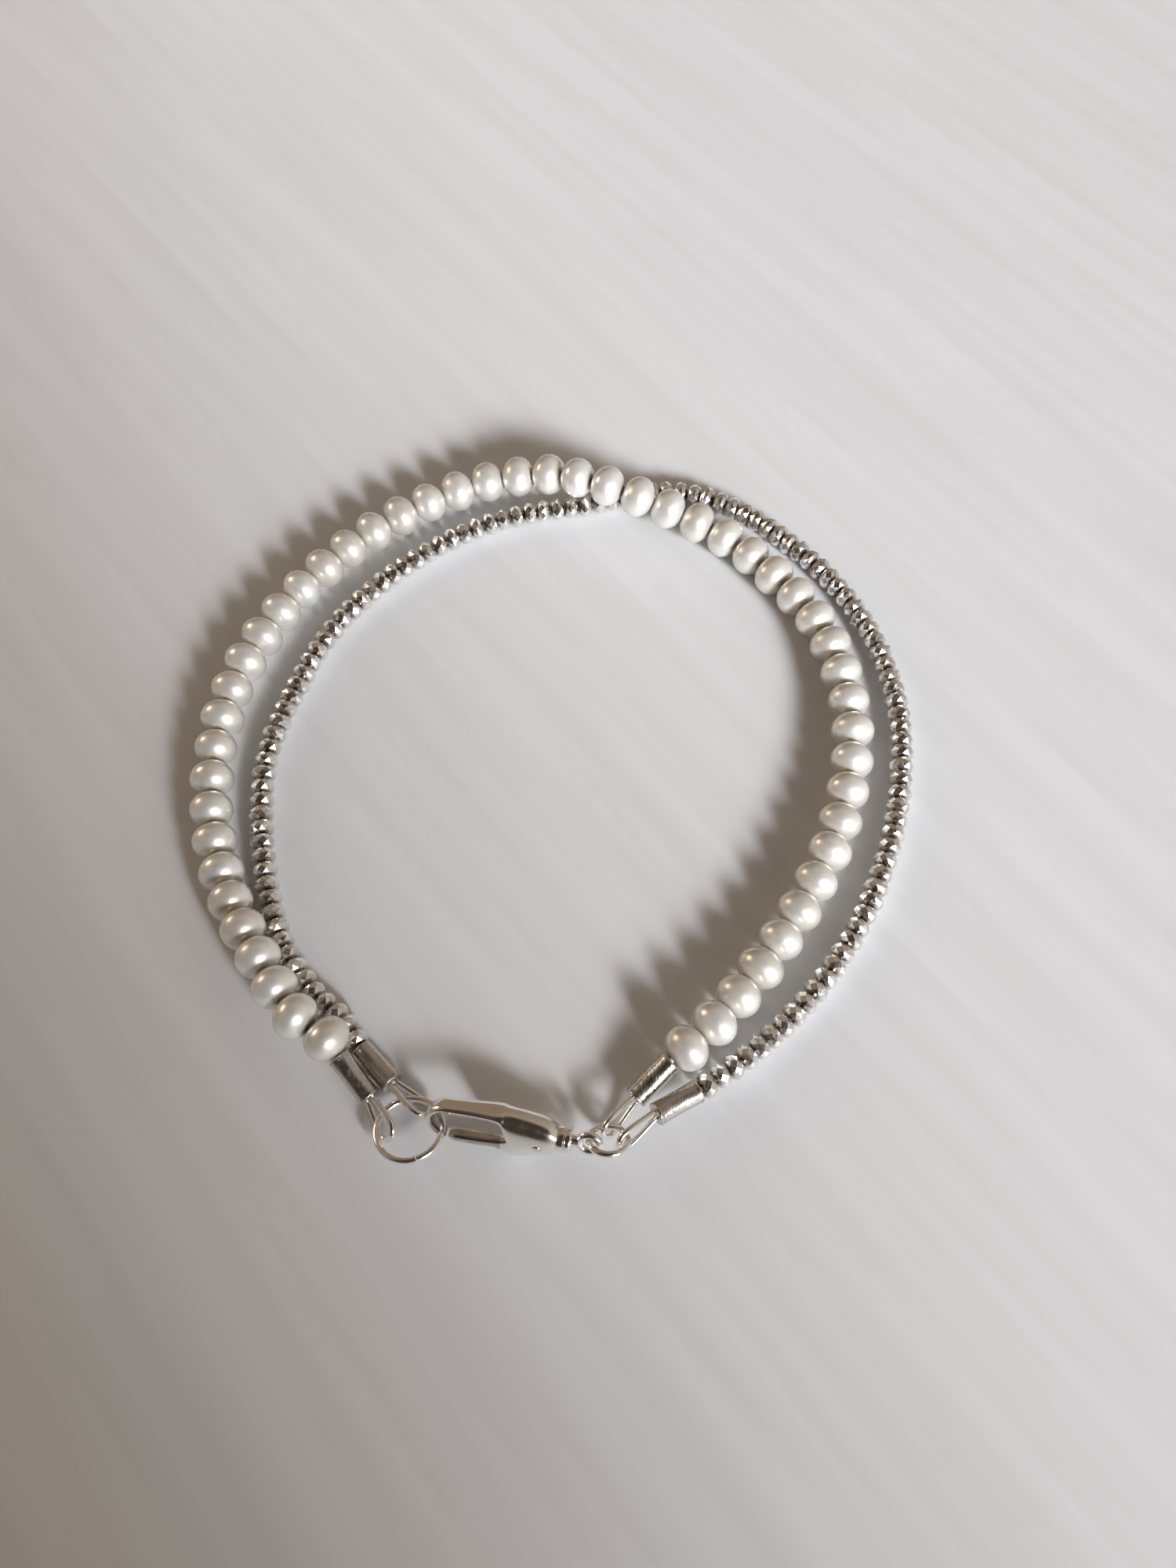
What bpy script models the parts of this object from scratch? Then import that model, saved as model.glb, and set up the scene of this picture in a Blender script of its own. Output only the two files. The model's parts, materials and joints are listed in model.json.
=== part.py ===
"""Two-strand bracelet: button pearls and fine silver beads, closed by one lobster clasp.

It lies closed on a flat surface at z = 0. The clasp is on the -Y side and hooks the large ring on
its left. Each strand ends in a crimp tube and a wire guard, and the guards hang on the rings.
Every strand, ring, guard and tube is placed from the clasp outwards.
"""

import math

import bmesh
import bpy
from mathutils import Matrix, Vector

MM = 0.001

# Gaps between pieces that bear on each other
LINK_GAP = 0.15 * MM
GUARD_TO_CRIMP = 0.3 * MM

# Pearls, strung through their short axis
PEARL_COUNT = 51
PEARL_DIAMETER = 3.7 * MM
PEARL_SIDES = 10
PEARL_LATITUDES = (-60, -30, 0, 30, 60)

# Silver beads
BEAD_COUNT = 116
BEAD_DIAMETER = 2.15 * MM
BEAD_SIDES = 10
BEAD_LATITUDES = (-18, 18)

# Thread, with the tubes that are squeezed on its ends
THREAD_DIAMETER = 0.5 * MM
THREAD_CLEARANCE = 0.12 * MM
CRIMP_DIAMETER = 1.8 * MM
CRIMP_LENGTH = 3.7 * MM
CRIMP_SIDES = 12

# Wire guards and rings
GUARD_WIRE = 0.45 * MM
GUARD_INSIDE = 1.3 * MM
GUARD_LEG = 2.4 * MM
GUARD_STEPS = 8
HOOK_RING_DIAMETER = 5.4 * MM
HOOK_RING_WIRE = 0.5 * MM
HOOK_RING_STEPS = 20
EYE_RING_DIAMETER = 3.3 * MM
EYE_RING_WIRE = 0.5 * MM
EYE_RING_STEPS = 16
WIRE_SIDES = 6

# Clasp: its own X runs from the eye to the nose, its own Y towards the claw's back
EYE_HOLE = 0.96 * MM
EYE_WIRE = 0.56 * MM
EYE_STEPS = 14
EYE_SIDES = 8
NECK_DIAMETER = 0.9 * MM
NECK_LENGTH = 0.5 * MM
COLLAR_DIAMETER = 1.9 * MM
COLLAR_LENGTH = 0.9 * MM
CLAW_REACH = 8.25 * MM
CLAW_WIDTH = 2.2 * MM
CLAW_SIDES = 12
CLAW_FULLNESS = 0.8
HOOK_HEIGHT = 3.3 * MM
NOSE_THICKNESS = 0.66 * MM
NOSE_STEPS = 8
TIP_TAPER = 0.8

# Lever between the claw's cheeks, on its pin
LEVER_WIDTH = 0.84 * MM
LEVER_FULLNESS = 0.6
LEVER_GAP = 0.08 * MM
LEVER_BEHIND_PIVOT = 0.75 * MM
LEVER_TO_NOSE = 0.17 * MM
SLOT_BEHIND_LEVER = 0.19 * MM
SLOT_OVER_LEVER = 0.24 * MM
SLOT_END = 0.6
PIVOT_FROM_COLLAR = 1.5 * MM
PIVOT_DROP = 0.45 * MM
PIN_DIAMETER = 0.6 * MM
PIN_CLEARANCE = 0.04 * MM
LEVER_BORE_CLEARANCE = 0.06 * MM
PIN_SIDES = 16

# Edges bent by more than this stay sharp, in degrees
SHARP_ANGLE = 40.0

# Sections of the claw up to its nose: share of the reach, then lower and upper edge as shares of
# half the hook's height, then share of the claw's width
CLAW_SECTIONS = (
    # along, low, high, width
    (0.00, -0.50, 0.50, 0.75),
    (0.09, -0.80, 0.82, 0.95),
    (0.25, -0.94, 1.02, 1.00),
    (0.40, -0.92, 1.13, 1.00),
    (0.47, -0.20, 1.15, 0.95),
    (0.53, 0.60, 1.15, 0.86),
    (0.76, 0.62, 1.09, 0.70),
)
# Share of the claw's width where the nose starts, and at its tip
NOSE_WIDTH = (0.64, 0.44)

# Sections of the collar with the groove round it: share of its length, share of its diameter. The
# last one is inside the claw
COLLAR_SECTIONS = (
    # along, diameter
    (0.10, 1.00),
    (0.40, 1.00),
    (0.50, 0.86),
    (0.60, 1.00),
    (1.15, 1.00),
    (1.40, 0.60),
)

# Sections of the lever, then lower and upper edge as shares of half the hook's height, measured from
# the pivot, then share of its width. Behind the pivot the first column is a share of the length
# there, and in front of it a share of the lever's reach
LEVER_BACK_SECTIONS = (
    # along, low, high, width
    (-1.00, -0.18, 0.18, 1.00),
    (-0.60, -0.40, 0.36, 1.00),
)
LEVER_SECTIONS = (
    # along, low, high, width
    (0.00, -0.78, 0.45, 1.00),
    (0.13, -1.05, 0.27, 1.00),
    (0.28, -1.12, 0.00, 1.00),
    (0.41, -0.94, -0.27, 1.00),
    (0.50, -0.78, -0.33, 1.08),
    (0.72, -0.79, -0.37, 1.18),
    (0.92, -0.76, -0.38, 1.18),
    (1.00, -0.66, -0.44, 0.90),
)

# Where the clasp lies: the eye's centre, the heading of its nose, its rise and its roll
CLASP_EYE_AT = Vector((0.09, -30.9, 2.35)) * MM
CLASP_HEADING = 169.3
CLASP_RISE = -2.2
CLASP_ROLL = 117.0

# How each ring lies: heading from its link to its centre, rise and roll
HOOK_RING_TURN = (192.0, -3.7, 11.5)
EYE_RING_TURN = (12.0, -8.0, -28.0)
HOOK_LINK_FROM_NOSE = Vector((0.36, -0.42, 0)) * MM

# Each end of each strand: where its guard hangs on the ring, then how guard and crimp lie
STRAND_ENDS = {
    # strand and side: (place round the ring, slack in the guard in millimetres, guard's heading and
    # roll, crimp's heading and rise)
    "pearl_left": (-35.6, 0.85, 119.8, 33.5, 131.0, 20.0),
    "silver_left": (-99.6, 0.86, 140.0, -46.1, 134.4, 0.0),
    "pearl_right": (66.0, 0.0, 50.0, -18.0, 44.0, 12.0),
    "silver_right": (-8.0, 0.0, 41.0, -18.0, 31.0, -6.0),
}

# Routes of the strands' centre lines between their crimps, in millimetres, clockwise from the left
PEARL_ROUTE = (
    (-19.55, -22.95, 3.2),
    (-22.0, -21.3, 3.35),
    (-24.4, -17.7, 3.2),
    (-26.95, -13.4, 2.6),
    (-28.7, -9.5, 1.95),
    (-30.4, -3.4, 1.85),
    (-30.7, 3.6, 1.85),
    (-29.5, 10.3, 1.85),
    (-26.5, 16.7, 1.85),
    (-22.2, 22.5, 1.85),
    (-16.8, 27.2, 1.85),
    (-10.2, 30.7, 1.9),
    (-4.6, 30.9, 3.0),
    (-1.6, 29.9, 3.9),
    (1.2, 28.7, 4.25),
    (4.0, 27.7, 4.0),
    (9.0, 26.3, 2.5),
    (13.7, 23.3, 1.85),
    (18.4, 17.7, 1.85),
    (21.0, 12.3, 1.85),
    (22.0, 5.5, 1.85),
    (21.3, -0.8, 1.85),
    (19.2, -7.2, 1.85),
    (15.8, -13.4, 1.85),
    (11.9, -18.8, 1.95),
    (9.3, -21.9, 2.2),
)
SILVER_ROUTE = (
    (-18.05, -21.6, 1.05),
    (-21.05, -18.75, 1.05),
    (-23.6, -14.8, 1.05),
    (-25.4, -9.5, 1.05),
    (-26.5, -3.0, 1.05),
    (-26.5, 2.6, 1.05),
    (-24.9, 8.6, 1.05),
    (-22.2, 15.0, 1.05),
    (-17.6, 20.8, 1.05),
    (-11.6, 25.4, 1.05),
    (-6.0, 27.8, 1.05),
    (-1.0, 28.8, 1.05),
    (3.2, 29.8, 1.05),
    (7.6, 30.5, 1.05),
    (11.6, 29.5, 1.05),
    (16.2, 26.5, 1.05),
    (21.3, 20.9, 1.05),
    (24.6, 14.6, 1.05),
    (26.1, 8.0, 1.05),
    (26.0, 2.0, 1.05),
    (24.6, -5.0, 1.05),
    (21.8, -12.0, 1.05),
    (17.6, -18.4, 1.05),
    (12.8, -23.2, 1.05),
)
ROUTE_SAMPLES = 40

# Colour, roughness and metallic value of each finish
FINISHES = {
    "pearl": ((0.90, 0.87, 0.82, 1.0), 0.22, 0.0),
    "silver": ((0.82, 0.80, 0.78, 1.0), 0.15, 1.0),
}


def placed(origin, heading, rise=0.0, roll=0.0):
    """A frame at origin whose X points along heading and rise, turned by roll about X."""
    turn = (
        Matrix.Rotation(math.radians(heading), 4, "Z")
        @ Matrix.Rotation(math.radians(-rise), 4, "Y")
        @ Matrix.Rotation(math.radians(roll), 4, "X")
    )
    return Matrix.Translation(origin) @ turn


def along(point, tangent):
    """A frame at point whose X follows tangent, with Y level."""
    forward = tangent.normalized()
    side = Vector((0, 0, 1)).cross(forward).normalized()
    up = forward.cross(side)
    turn = Matrix((forward, side, up)).transposed()
    return Matrix.Translation(point) @ turn.to_4x4()


def section(frame, half_side, half_up, sides, fullness=1.0):
    """Points of an oval across the frame's X. Fullness under 1 squares the oval off."""
    points = []
    for step in range(sides):
        angle = math.tau * (step + 0.5) / sides
        y = math.copysign(abs(math.cos(angle)) ** fullness, math.cos(angle)) * half_side
        z = math.copysign(abs(math.sin(angle)) ** fullness, math.sin(angle)) * half_up
        points.append(frame @ Vector((0, y, z)))
    return points


def loft(name, sections, finish, loop=False):
    """One closed solid through the sections, capped at both ends unless it is a loop."""
    shape = bmesh.new()
    rows = [[shape.verts.new(point) for point in row] for row in sections]
    sides = len(rows[0])
    pairs = list(zip(rows, rows[1:]))
    if loop:
        pairs.append((rows[-1], rows[0]))
    for near, far in pairs:
        for step in range(sides):
            after = (step + 1) % sides
            shape.faces.new((near[step], near[after], far[after], far[step]))
    if not loop:
        shape.faces.new(list(reversed(rows[0])))
        shape.faces.new(rows[-1])
    bmesh.ops.recalc_face_normals(shape, faces=shape.faces)
    return solid(name, shape, finish)


def solid(name, shape, finish):
    """An object made of the bmesh shape, smooth shaded, with its own material."""
    mesh = bpy.data.meshes.new(name)
    shape.to_mesh(mesh)
    shape.free()
    mesh.shade_smooth()
    mesh.set_sharp_from_angle(angle=math.radians(SHARP_ANGLE))
    colour, roughness, metallic = FINISHES[finish]
    material = bpy.data.materials.new(name)
    material.use_nodes = True
    shader = material.node_tree.nodes["Principled BSDF"]
    shader.inputs["Base Color"].default_value = colour
    shader.inputs["Roughness"].default_value = roughness
    shader.inputs["Metallic"].default_value = metallic
    mesh.materials.append(material)
    piece = bpy.data.objects.new(name, mesh)
    bpy.context.scene.collection.objects.link(piece)
    return piece


def tube(name, frame, radius, bore, length, sides, finish):
    """A round tube along the frame's X, from its origin."""
    shape = bmesh.new()
    rows = []
    for at, size in ((0, bore), (0, radius), (length, radius), (length, bore)):
        ends = section(Matrix.Translation((at, 0, 0)), size, size, sides)
        rows.append([shape.verts.new(point) for point in ends])
    for near, far in zip(rows, rows[1:] + rows[:1]):
        for step in range(sides):
            after = (step + 1) % sides
            shape.faces.new((near[step], near[after], far[after], far[step]))
    bmesh.ops.recalc_face_normals(shape, faces=shape.faces)
    piece = solid(name, shape, finish)
    piece.matrix_world = frame
    return piece


def join(piece, other, operation):
    """A Boolean of piece with other, which stays as a hidden helper."""
    other.hide_render = True
    other.display_type = "WIRE"
    change = piece.modifiers.new(other.name, "BOOLEAN")
    change.operation = operation
    change.object = other


# Rings


def ring_frame(link, turn, diameter, wire):
    """A frame at a ring's centre. The ring passes through link, on the frame's -X side."""
    towards = placed(link, *turn)
    return towards @ Matrix.Translation(((diameter - wire) / 2, 0, 0))


def make_ring(name, frame, diameter, wire, steps):
    """A round wire ring in the frame's XY plane."""
    middle = (diameter - wire) / 2
    rows = []
    for step in range(steps):
        around = Matrix.Rotation(math.tau * step / steps, 4, "Z")
        here = around @ Matrix.Translation((middle, 0, 0)) @ Matrix.Rotation(math.pi / 2, 4, "Z")
        rows.append(section(here, wire / 2, wire / 2, WIRE_SIDES))
    piece = loft(name, rows, "silver", loop=True)
    piece.matrix_world = frame
    return piece


# Clasp


def collar_start():
    return EYE_HOLE / 2 + EYE_WIRE / 2 + NECK_LENGTH


def claw_start():
    return collar_start() + COLLAR_LENGTH


def nose_centre():
    return claw_start() + CLAW_REACH


def pivot_at():
    return Vector((claw_start() + PIVOT_FROM_COLLAR, -PIVOT_DROP, 0))


def claw_section(frame, half_height, width_share):
    return section(frame, half_height, width_share * CLAW_WIDTH / 2, CLAW_SIDES, CLAW_FULLNESS)


def make_claw():
    """The claw's outer shape: one loft from the collar along the back and round the nose."""
    half = HOOK_HEIGHT / 2
    rows = []
    for share, low, high, width in CLAW_SECTIONS:
        middle = (low + high) / 2 * half
        here = Matrix.Translation((claw_start() + share * CLAW_REACH, middle, 0))
        rows.append(claw_section(here, (high - low) / 2 * half, width))
    for step in range(NOSE_STEPS + 1):
        share = step / NOSE_STEPS
        around = Matrix.Rotation(-math.pi * share, 4, "Z")
        thickness = NOSE_THICKNESS * (1 + (TIP_TAPER - 1) * share)
        width = NOSE_WIDTH[0] + (NOSE_WIDTH[1] - NOSE_WIDTH[0]) * share
        outward = Matrix.Translation((0, half - NOSE_THICKNESS / 2, 0))
        here = Matrix.Translation((nose_centre(), 0, 0)) @ around @ outward
        rows.append(claw_section(here, thickness / 2, width))
    return loft("clasp_body", rows, "silver")


def make_eye():
    """The round eye at the clasp's end, in the plane of the claw."""
    rows = []
    for step in range(EYE_STEPS):
        around = Matrix.Rotation(math.tau * (step + 0.5) / EYE_STEPS, 4, "Z")
        outward = Matrix.Translation(((EYE_HOLE + EYE_WIRE) / 2, 0, 0))
        here = around @ outward @ Matrix.Rotation(math.pi / 2, 4, "Z")
        rows.append(section(here, EYE_WIRE / 2, EYE_WIRE / 2, EYE_SIDES))
    return loft("eye", rows, "silver", loop=True)


def make_neck():
    """The turned neck and collar between the eye and the claw, with a groove round the collar."""
    profile = [((EYE_HOLE + EYE_WIRE) / 2, NECK_DIAMETER), (collar_start(), NECK_DIAMETER)]
    for along_share, diameter_share in COLLAR_SECTIONS:
        at = collar_start() + along_share * COLLAR_LENGTH
        profile.append((at, diameter_share * COLLAR_DIAMETER))
    rows = []
    for at, diameter in profile:
        here = Matrix.Translation((at, 0, 0))
        rows.append(section(here, diameter / 2, diameter / 2, CLAW_SIDES))
    return loft("neck", rows, "silver")


def make_slot():
    """The space between the cheeks that the lever turns in."""
    shape = bmesh.new()
    bmesh.ops.create_cube(shape, size=1.0)
    cutter = solid("lever_slot", shape, "silver")
    back = pivot_at().x - LEVER_BEHIND_PIVOT - SLOT_BEHIND_LEVER
    front = claw_start() + SLOT_END * CLAW_REACH
    top = pivot_at().y + LEVER_BEHIND_PIVOT + SLOT_OVER_LEVER
    bottom = -HOOK_HEIGHT
    size = Vector((front - back, top - bottom, LEVER_WIDTH + 2 * LEVER_GAP))
    middle = Vector(((front + back) / 2, (top + bottom) / 2, 0))
    cutter.matrix_world = Matrix.Translation(middle) @ Matrix.Diagonal(size).to_4x4()
    return cutter


def make_pin_shape(name, diameter, length):
    """A round pin along Z through the pivot's axis, at the origin."""
    shape = bmesh.new()
    bmesh.ops.create_cone(
        shape,
        cap_ends=True,
        segments=PIN_SIDES,
        radius1=diameter / 2,
        radius2=diameter / 2,
        depth=length,
    )
    return solid(name, shape, "silver")


def make_clasp_body(frame):
    """The claw with its slot and pin holes, and the neck and eye soldered to it."""
    body = make_claw()
    neck = make_neck()
    eye = make_eye()
    slot = make_slot()
    holes = make_pin_shape("pin_holes", PIN_DIAMETER + 2 * PIN_CLEARANCE, CLAW_WIDTH * 2)
    holes.matrix_world = Matrix.Translation(pivot_at())
    join(body, neck, "UNION")
    join(body, eye, "UNION")
    join(body, slot, "DIFFERENCE")
    join(body, holes, "DIFFERENCE")
    for piece in (body, neck, eye, slot, holes):
        piece.matrix_world = frame @ piece.matrix_world
    return body


def lever_length():
    """From the pivot to the tip, which stops just short of the nose."""
    return nose_centre() - LEVER_TO_NOSE - pivot_at().x


def make_lever(frame):
    """The gate with its thumb tab. Its origin is on the pin's axis."""
    half = HOOK_HEIGHT / 2
    rows = []
    spans = ((LEVER_BEHIND_PIVOT, LEVER_BACK_SECTIONS), (lever_length(), LEVER_SECTIONS))
    for span, sections in spans:
        for share, low, high, width in sections:
            here = Matrix.Translation((share * span, (low + high) / 2 * half, 0))
            sizes = ((high - low) / 2 * half, width * LEVER_WIDTH / 2)
            rows.append(section(here, *sizes, CLAW_SIDES, LEVER_FULLNESS))
    lever = loft("clasp_lever", rows, "silver")
    bore = make_pin_shape("lever_bore", PIN_DIAMETER + 2 * LEVER_BORE_CLEARANCE, CLAW_WIDTH * 2)
    join(lever, bore, "DIFFERENCE")
    for piece in (lever, bore):
        piece.matrix_world = frame @ Matrix.Translation(pivot_at())
    return lever


def make_clasp():
    frame = placed(CLASP_EYE_AT, CLASP_HEADING, CLASP_RISE, CLASP_ROLL)
    body = make_clasp_body(frame)
    lever = make_lever(frame)
    pin = make_pin_shape("clasp_pin", PIN_DIAMETER, CLAW_WIDTH)
    pin.matrix_world = frame @ Matrix.Translation(pivot_at())
    link = frame @ (Vector((nose_centre(), 0, 0)) + HOOK_LINK_FROM_NOSE)
    return [body, lever, pin], link


# Strand ends


def make_guard(name, frame):
    """A U of wire, its bend round the frame's origin and its legs closing in on the crimp."""
    bend = (GUARD_INSIDE + GUARD_WIRE) / 2
    foot = (CRIMP_DIAMETER - GUARD_WIRE) / 2
    path = [Vector((GUARD_LEG, 0, foot))]
    for step in range(GUARD_STEPS + 1):
        angle = math.pi * step / GUARD_STEPS
        path.append(Vector((-bend * math.sin(angle), 0, bend * math.cos(angle))))
    path.append(Vector((GUARD_LEG, 0, -foot)))
    rows = []
    for index, point in enumerate(path):
        tangent = path[min(index + 1, len(path) - 1)] - path[max(index - 1, 0)]
        turn = Matrix.Rotation(-math.atan2(tangent.z, tangent.x), 4, "Y")
        here = Matrix.Translation(point) @ turn
        rows.append(section(here, GUARD_WIRE / 2, GUARD_WIRE / 2, WIRE_SIDES))
    piece = loft(name, rows, "silver")
    piece.matrix_world = frame
    return piece


def make_end(name, ring, diameter, wire):
    """The guard and crimp at one end of a strand. Returns them and the crimp's frame."""
    place, slack, guard_heading, guard_roll, crimp_heading, crimp_rise = STRAND_ENDS[name]
    around = ring @ Matrix.Rotation(math.radians(place), 4, "Z")
    hung = around @ Vector(((diameter - wire) / 2, 0, 0))
    slid = Matrix.Translation((-slack * MM, 0, 0))
    guard_frame = placed(hung, guard_heading, roll=guard_roll) @ slid
    guard = make_guard("wire_guard_" + name, guard_frame)
    mouth = guard_frame @ Vector((GUARD_LEG + GUARD_TO_CRIMP, 0, 0))
    crimp_frame = placed(mouth, crimp_heading, crimp_rise)
    bore = THREAD_DIAMETER / 2 + THREAD_CLEARANCE
    crimp = tube(
        "crimp_tube_" + name,
        crimp_frame,
        CRIMP_DIAMETER / 2,
        bore,
        CRIMP_LENGTH,
        CRIMP_SIDES,
        "silver",
    )
    return [guard, crimp], crimp_frame


# Strands


def smooth_route(knots):
    """Points along a smooth curve through the knots, with the length up to each."""
    padded = [2 * knots[0] - knots[1]] + list(knots) + [2 * knots[-1] - knots[-2]]
    points = []
    for before, start, end, after in zip(padded, padded[1:], padded[2:], padded[3:]):
        for step in range(ROUTE_SAMPLES):
            t = step / ROUTE_SAMPLES
            points.append(
                0.5
                * (
                    2 * start
                    + (end - before) * t
                    + (2 * before - 5 * start + 4 * end - after) * t**2
                    + (3 * start - before - 3 * end + after) * t**3
                )
            )
    points.append(knots[-1])
    lengths = [0.0]
    for near, far in zip(points, points[1:]):
        lengths.append(lengths[-1] + (far - near).length)
    return points, lengths


def frame_on(points, lengths, distance):
    """The frame at this distance along the route."""
    index = 1
    while index < len(lengths) - 1 and lengths[index] < distance:
        index += 1
    share = (distance - lengths[index - 1]) / (lengths[index] - lengths[index - 1])
    here = points[index - 1].lerp(points[index], share)
    behind = points[max(index - 3, 0)]
    ahead = points[min(index + 2, len(points) - 1)]
    return along(here, ahead - behind)


def make_strand(name, route, ends, count, diameter, sides, latitudes, finish):
    """Beads fused on their thread, which runs on through the crimp at each end."""
    first, last = ends
    entry = CRIMP_LENGTH + LINK_GAP
    knots = [first @ Vector((entry, 0, 0))]
    knots += [Vector(point) * MM for point in route]
    knots.append(last @ Vector((entry, 0, 0)))
    points, lengths = smooth_route(knots)
    pitch = lengths[-1] / count
    thread = THREAD_DIAMETER / 2
    rows = [section(along(first.translation, points[1] - points[0]), thread, thread, sides)]
    for bead in range(count):
        start = bead * pitch
        rows.append(section(frame_on(points, lengths, start), thread, thread, sides))
        for latitude in latitudes:
            angle = math.radians(latitude)
            at = start + pitch / 2 * (1 + math.sin(angle))
            radius = diameter / 2 * math.cos(angle)
            rows.append(section(frame_on(points, lengths, at), radius, radius, sides))
    rows.append(section(frame_on(points, lengths, lengths[-1]), thread, thread, sides))
    rows.append(section(along(last.translation, points[-1] - points[-2]), thread, thread, sides))
    return loft(name, rows, finish)


def rest_on_origin(pieces):
    """Moves the whole bracelet so that its box stands on the origin's plane, centred."""
    bpy.context.view_layer.update()
    points = [piece.matrix_world @ vertex.co for piece in pieces for vertex in piece.data.vertices]
    low = Vector([min(point[axis] for point in points) for axis in range(3)])
    high = Vector([max(point[axis] for point in points) for axis in range(3)])
    shift = Vector((-(low.x + high.x) / 2, -(low.y + high.y) / 2, -low.z))
    holder = bpy.data.objects.new("bracelet", None)
    bpy.context.scene.collection.objects.link(holder)
    for piece in list(bpy.data.objects):
        if piece != holder:
            piece.parent = holder
    holder.location = shift
    return shift


def main():
    for old in list(bpy.data.objects):
        bpy.data.objects.remove(old, do_unlink=True)

    pieces, hook_link = make_clasp()
    hook = (HOOK_RING_DIAMETER, HOOK_RING_WIRE)
    eye = (EYE_RING_DIAMETER, EYE_RING_WIRE)
    hook_frame = ring_frame(hook_link, HOOK_RING_TURN, *hook)
    eye_frame = ring_frame(CLASP_EYE_AT, EYE_RING_TURN, *eye)
    pieces.append(make_ring("hook_ring", hook_frame, *hook, HOOK_RING_STEPS))
    pieces.append(make_ring("eye_ring", eye_frame, *eye, EYE_RING_STEPS))

    crimps = {}
    for name in STRAND_ENDS:
        frame, sizes = (hook_frame, hook) if name.endswith("left") else (eye_frame, eye)
        fittings, crimps[name] = make_end(name, frame, *sizes)
        pieces += fittings

    pieces.append(
        make_strand(
            "pearl_strand",
            PEARL_ROUTE,
            (crimps["pearl_left"], crimps["pearl_right"]),
            PEARL_COUNT,
            PEARL_DIAMETER,
            PEARL_SIDES,
            PEARL_LATITUDES,
            "pearl",
        )
    )
    pieces.append(
        make_strand(
            "silver_bead_strand",
            SILVER_ROUTE,
            (crimps["silver_left"], crimps["silver_right"]),
            BEAD_COUNT,
            BEAD_DIAMETER,
            BEAD_SIDES,
            BEAD_LATITUDES,
            "silver",
        )
    )
    rest_on_origin(pieces)


main()
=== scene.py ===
# %% [markdown]
# # A bracelet of button pearls and silver beads
# This lesson dresses a measured model of a bracelet: a strand of creamy button pearls and a strand of
# fine faceted silver beads, which lie side by side, cross once at the far end and close with a lobster
# clasp. The measured model gives every piece its place and its joint. Here each piece gets the shape
# and the finish that the eye sees.

import json
import math
import random

import bmesh
import bpy
from mathutils import Matrix, Vector

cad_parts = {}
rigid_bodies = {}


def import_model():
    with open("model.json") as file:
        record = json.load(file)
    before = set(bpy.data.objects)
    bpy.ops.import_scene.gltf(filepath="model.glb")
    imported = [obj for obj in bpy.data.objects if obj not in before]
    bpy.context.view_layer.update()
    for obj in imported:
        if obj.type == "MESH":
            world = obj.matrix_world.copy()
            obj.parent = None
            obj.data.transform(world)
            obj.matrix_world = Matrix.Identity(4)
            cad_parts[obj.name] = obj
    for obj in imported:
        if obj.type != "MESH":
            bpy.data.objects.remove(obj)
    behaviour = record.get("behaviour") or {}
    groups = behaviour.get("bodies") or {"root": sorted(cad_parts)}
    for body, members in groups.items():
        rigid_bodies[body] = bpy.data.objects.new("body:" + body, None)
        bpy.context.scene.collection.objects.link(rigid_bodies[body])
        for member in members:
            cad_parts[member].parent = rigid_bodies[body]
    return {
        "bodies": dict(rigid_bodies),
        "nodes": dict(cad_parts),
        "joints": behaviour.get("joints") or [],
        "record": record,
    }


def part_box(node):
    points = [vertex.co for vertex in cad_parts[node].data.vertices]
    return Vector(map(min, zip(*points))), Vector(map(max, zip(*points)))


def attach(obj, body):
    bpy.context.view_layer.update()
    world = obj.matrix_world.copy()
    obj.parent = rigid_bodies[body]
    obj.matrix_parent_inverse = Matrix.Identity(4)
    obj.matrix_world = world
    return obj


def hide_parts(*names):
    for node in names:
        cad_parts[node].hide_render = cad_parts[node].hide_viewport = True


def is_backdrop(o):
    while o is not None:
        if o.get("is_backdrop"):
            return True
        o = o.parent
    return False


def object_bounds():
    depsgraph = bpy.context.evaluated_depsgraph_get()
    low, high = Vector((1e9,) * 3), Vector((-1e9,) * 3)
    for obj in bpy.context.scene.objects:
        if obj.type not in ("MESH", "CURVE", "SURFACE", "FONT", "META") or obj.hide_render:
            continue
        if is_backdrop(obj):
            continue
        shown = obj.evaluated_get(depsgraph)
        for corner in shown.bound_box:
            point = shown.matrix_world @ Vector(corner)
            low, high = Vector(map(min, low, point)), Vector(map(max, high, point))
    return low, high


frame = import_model()
CAD_BOX = [list(corner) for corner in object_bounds()]
MM = 0.001
rng = random.Random(7)

# %% [markdown]
# ## Where everything lies
# Jewellers lay a bracelet out from its clasp, and so do we. One point and three angles place the clasp,
# the two jump rings hang in it, the wire guards hang on the rings, and the strands run between the
# crimped tubes at the guards' ends. The strands could also be traced as free curves, but then nothing
# would say that the pieces really reach each other. The numbers are the ones the measured model was
# made with, in millimetres and degrees.

# %% The clasp and the two rings
CLASP_EYE_AT = Vector((0.09, -30.9, 2.35)) * MM
CLASP_HEADING = 169.3
CLASP_RISE = -2.2
CLASP_ROLL = 117.0

EYE_HOLE = 0.96 * MM
EYE_WIRE = 0.56 * MM
NECK_DIAMETER = 0.9 * MM
NECK_LENGTH = 0.5 * MM
COLLAR_DIAMETER = 1.9 * MM
COLLAR_LENGTH = 0.9 * MM
CLAW_REACH = 8.25 * MM
CLAW_WIDTH = 2.2 * MM
HOOK_HEIGHT = 3.3 * MM
NOSE_THICKNESS = 0.66 * MM

PIVOT_FROM_COLLAR = 1.5 * MM
PIVOT_DROP = 0.45 * MM
PIN_DIAMETER = 0.6 * MM

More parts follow.
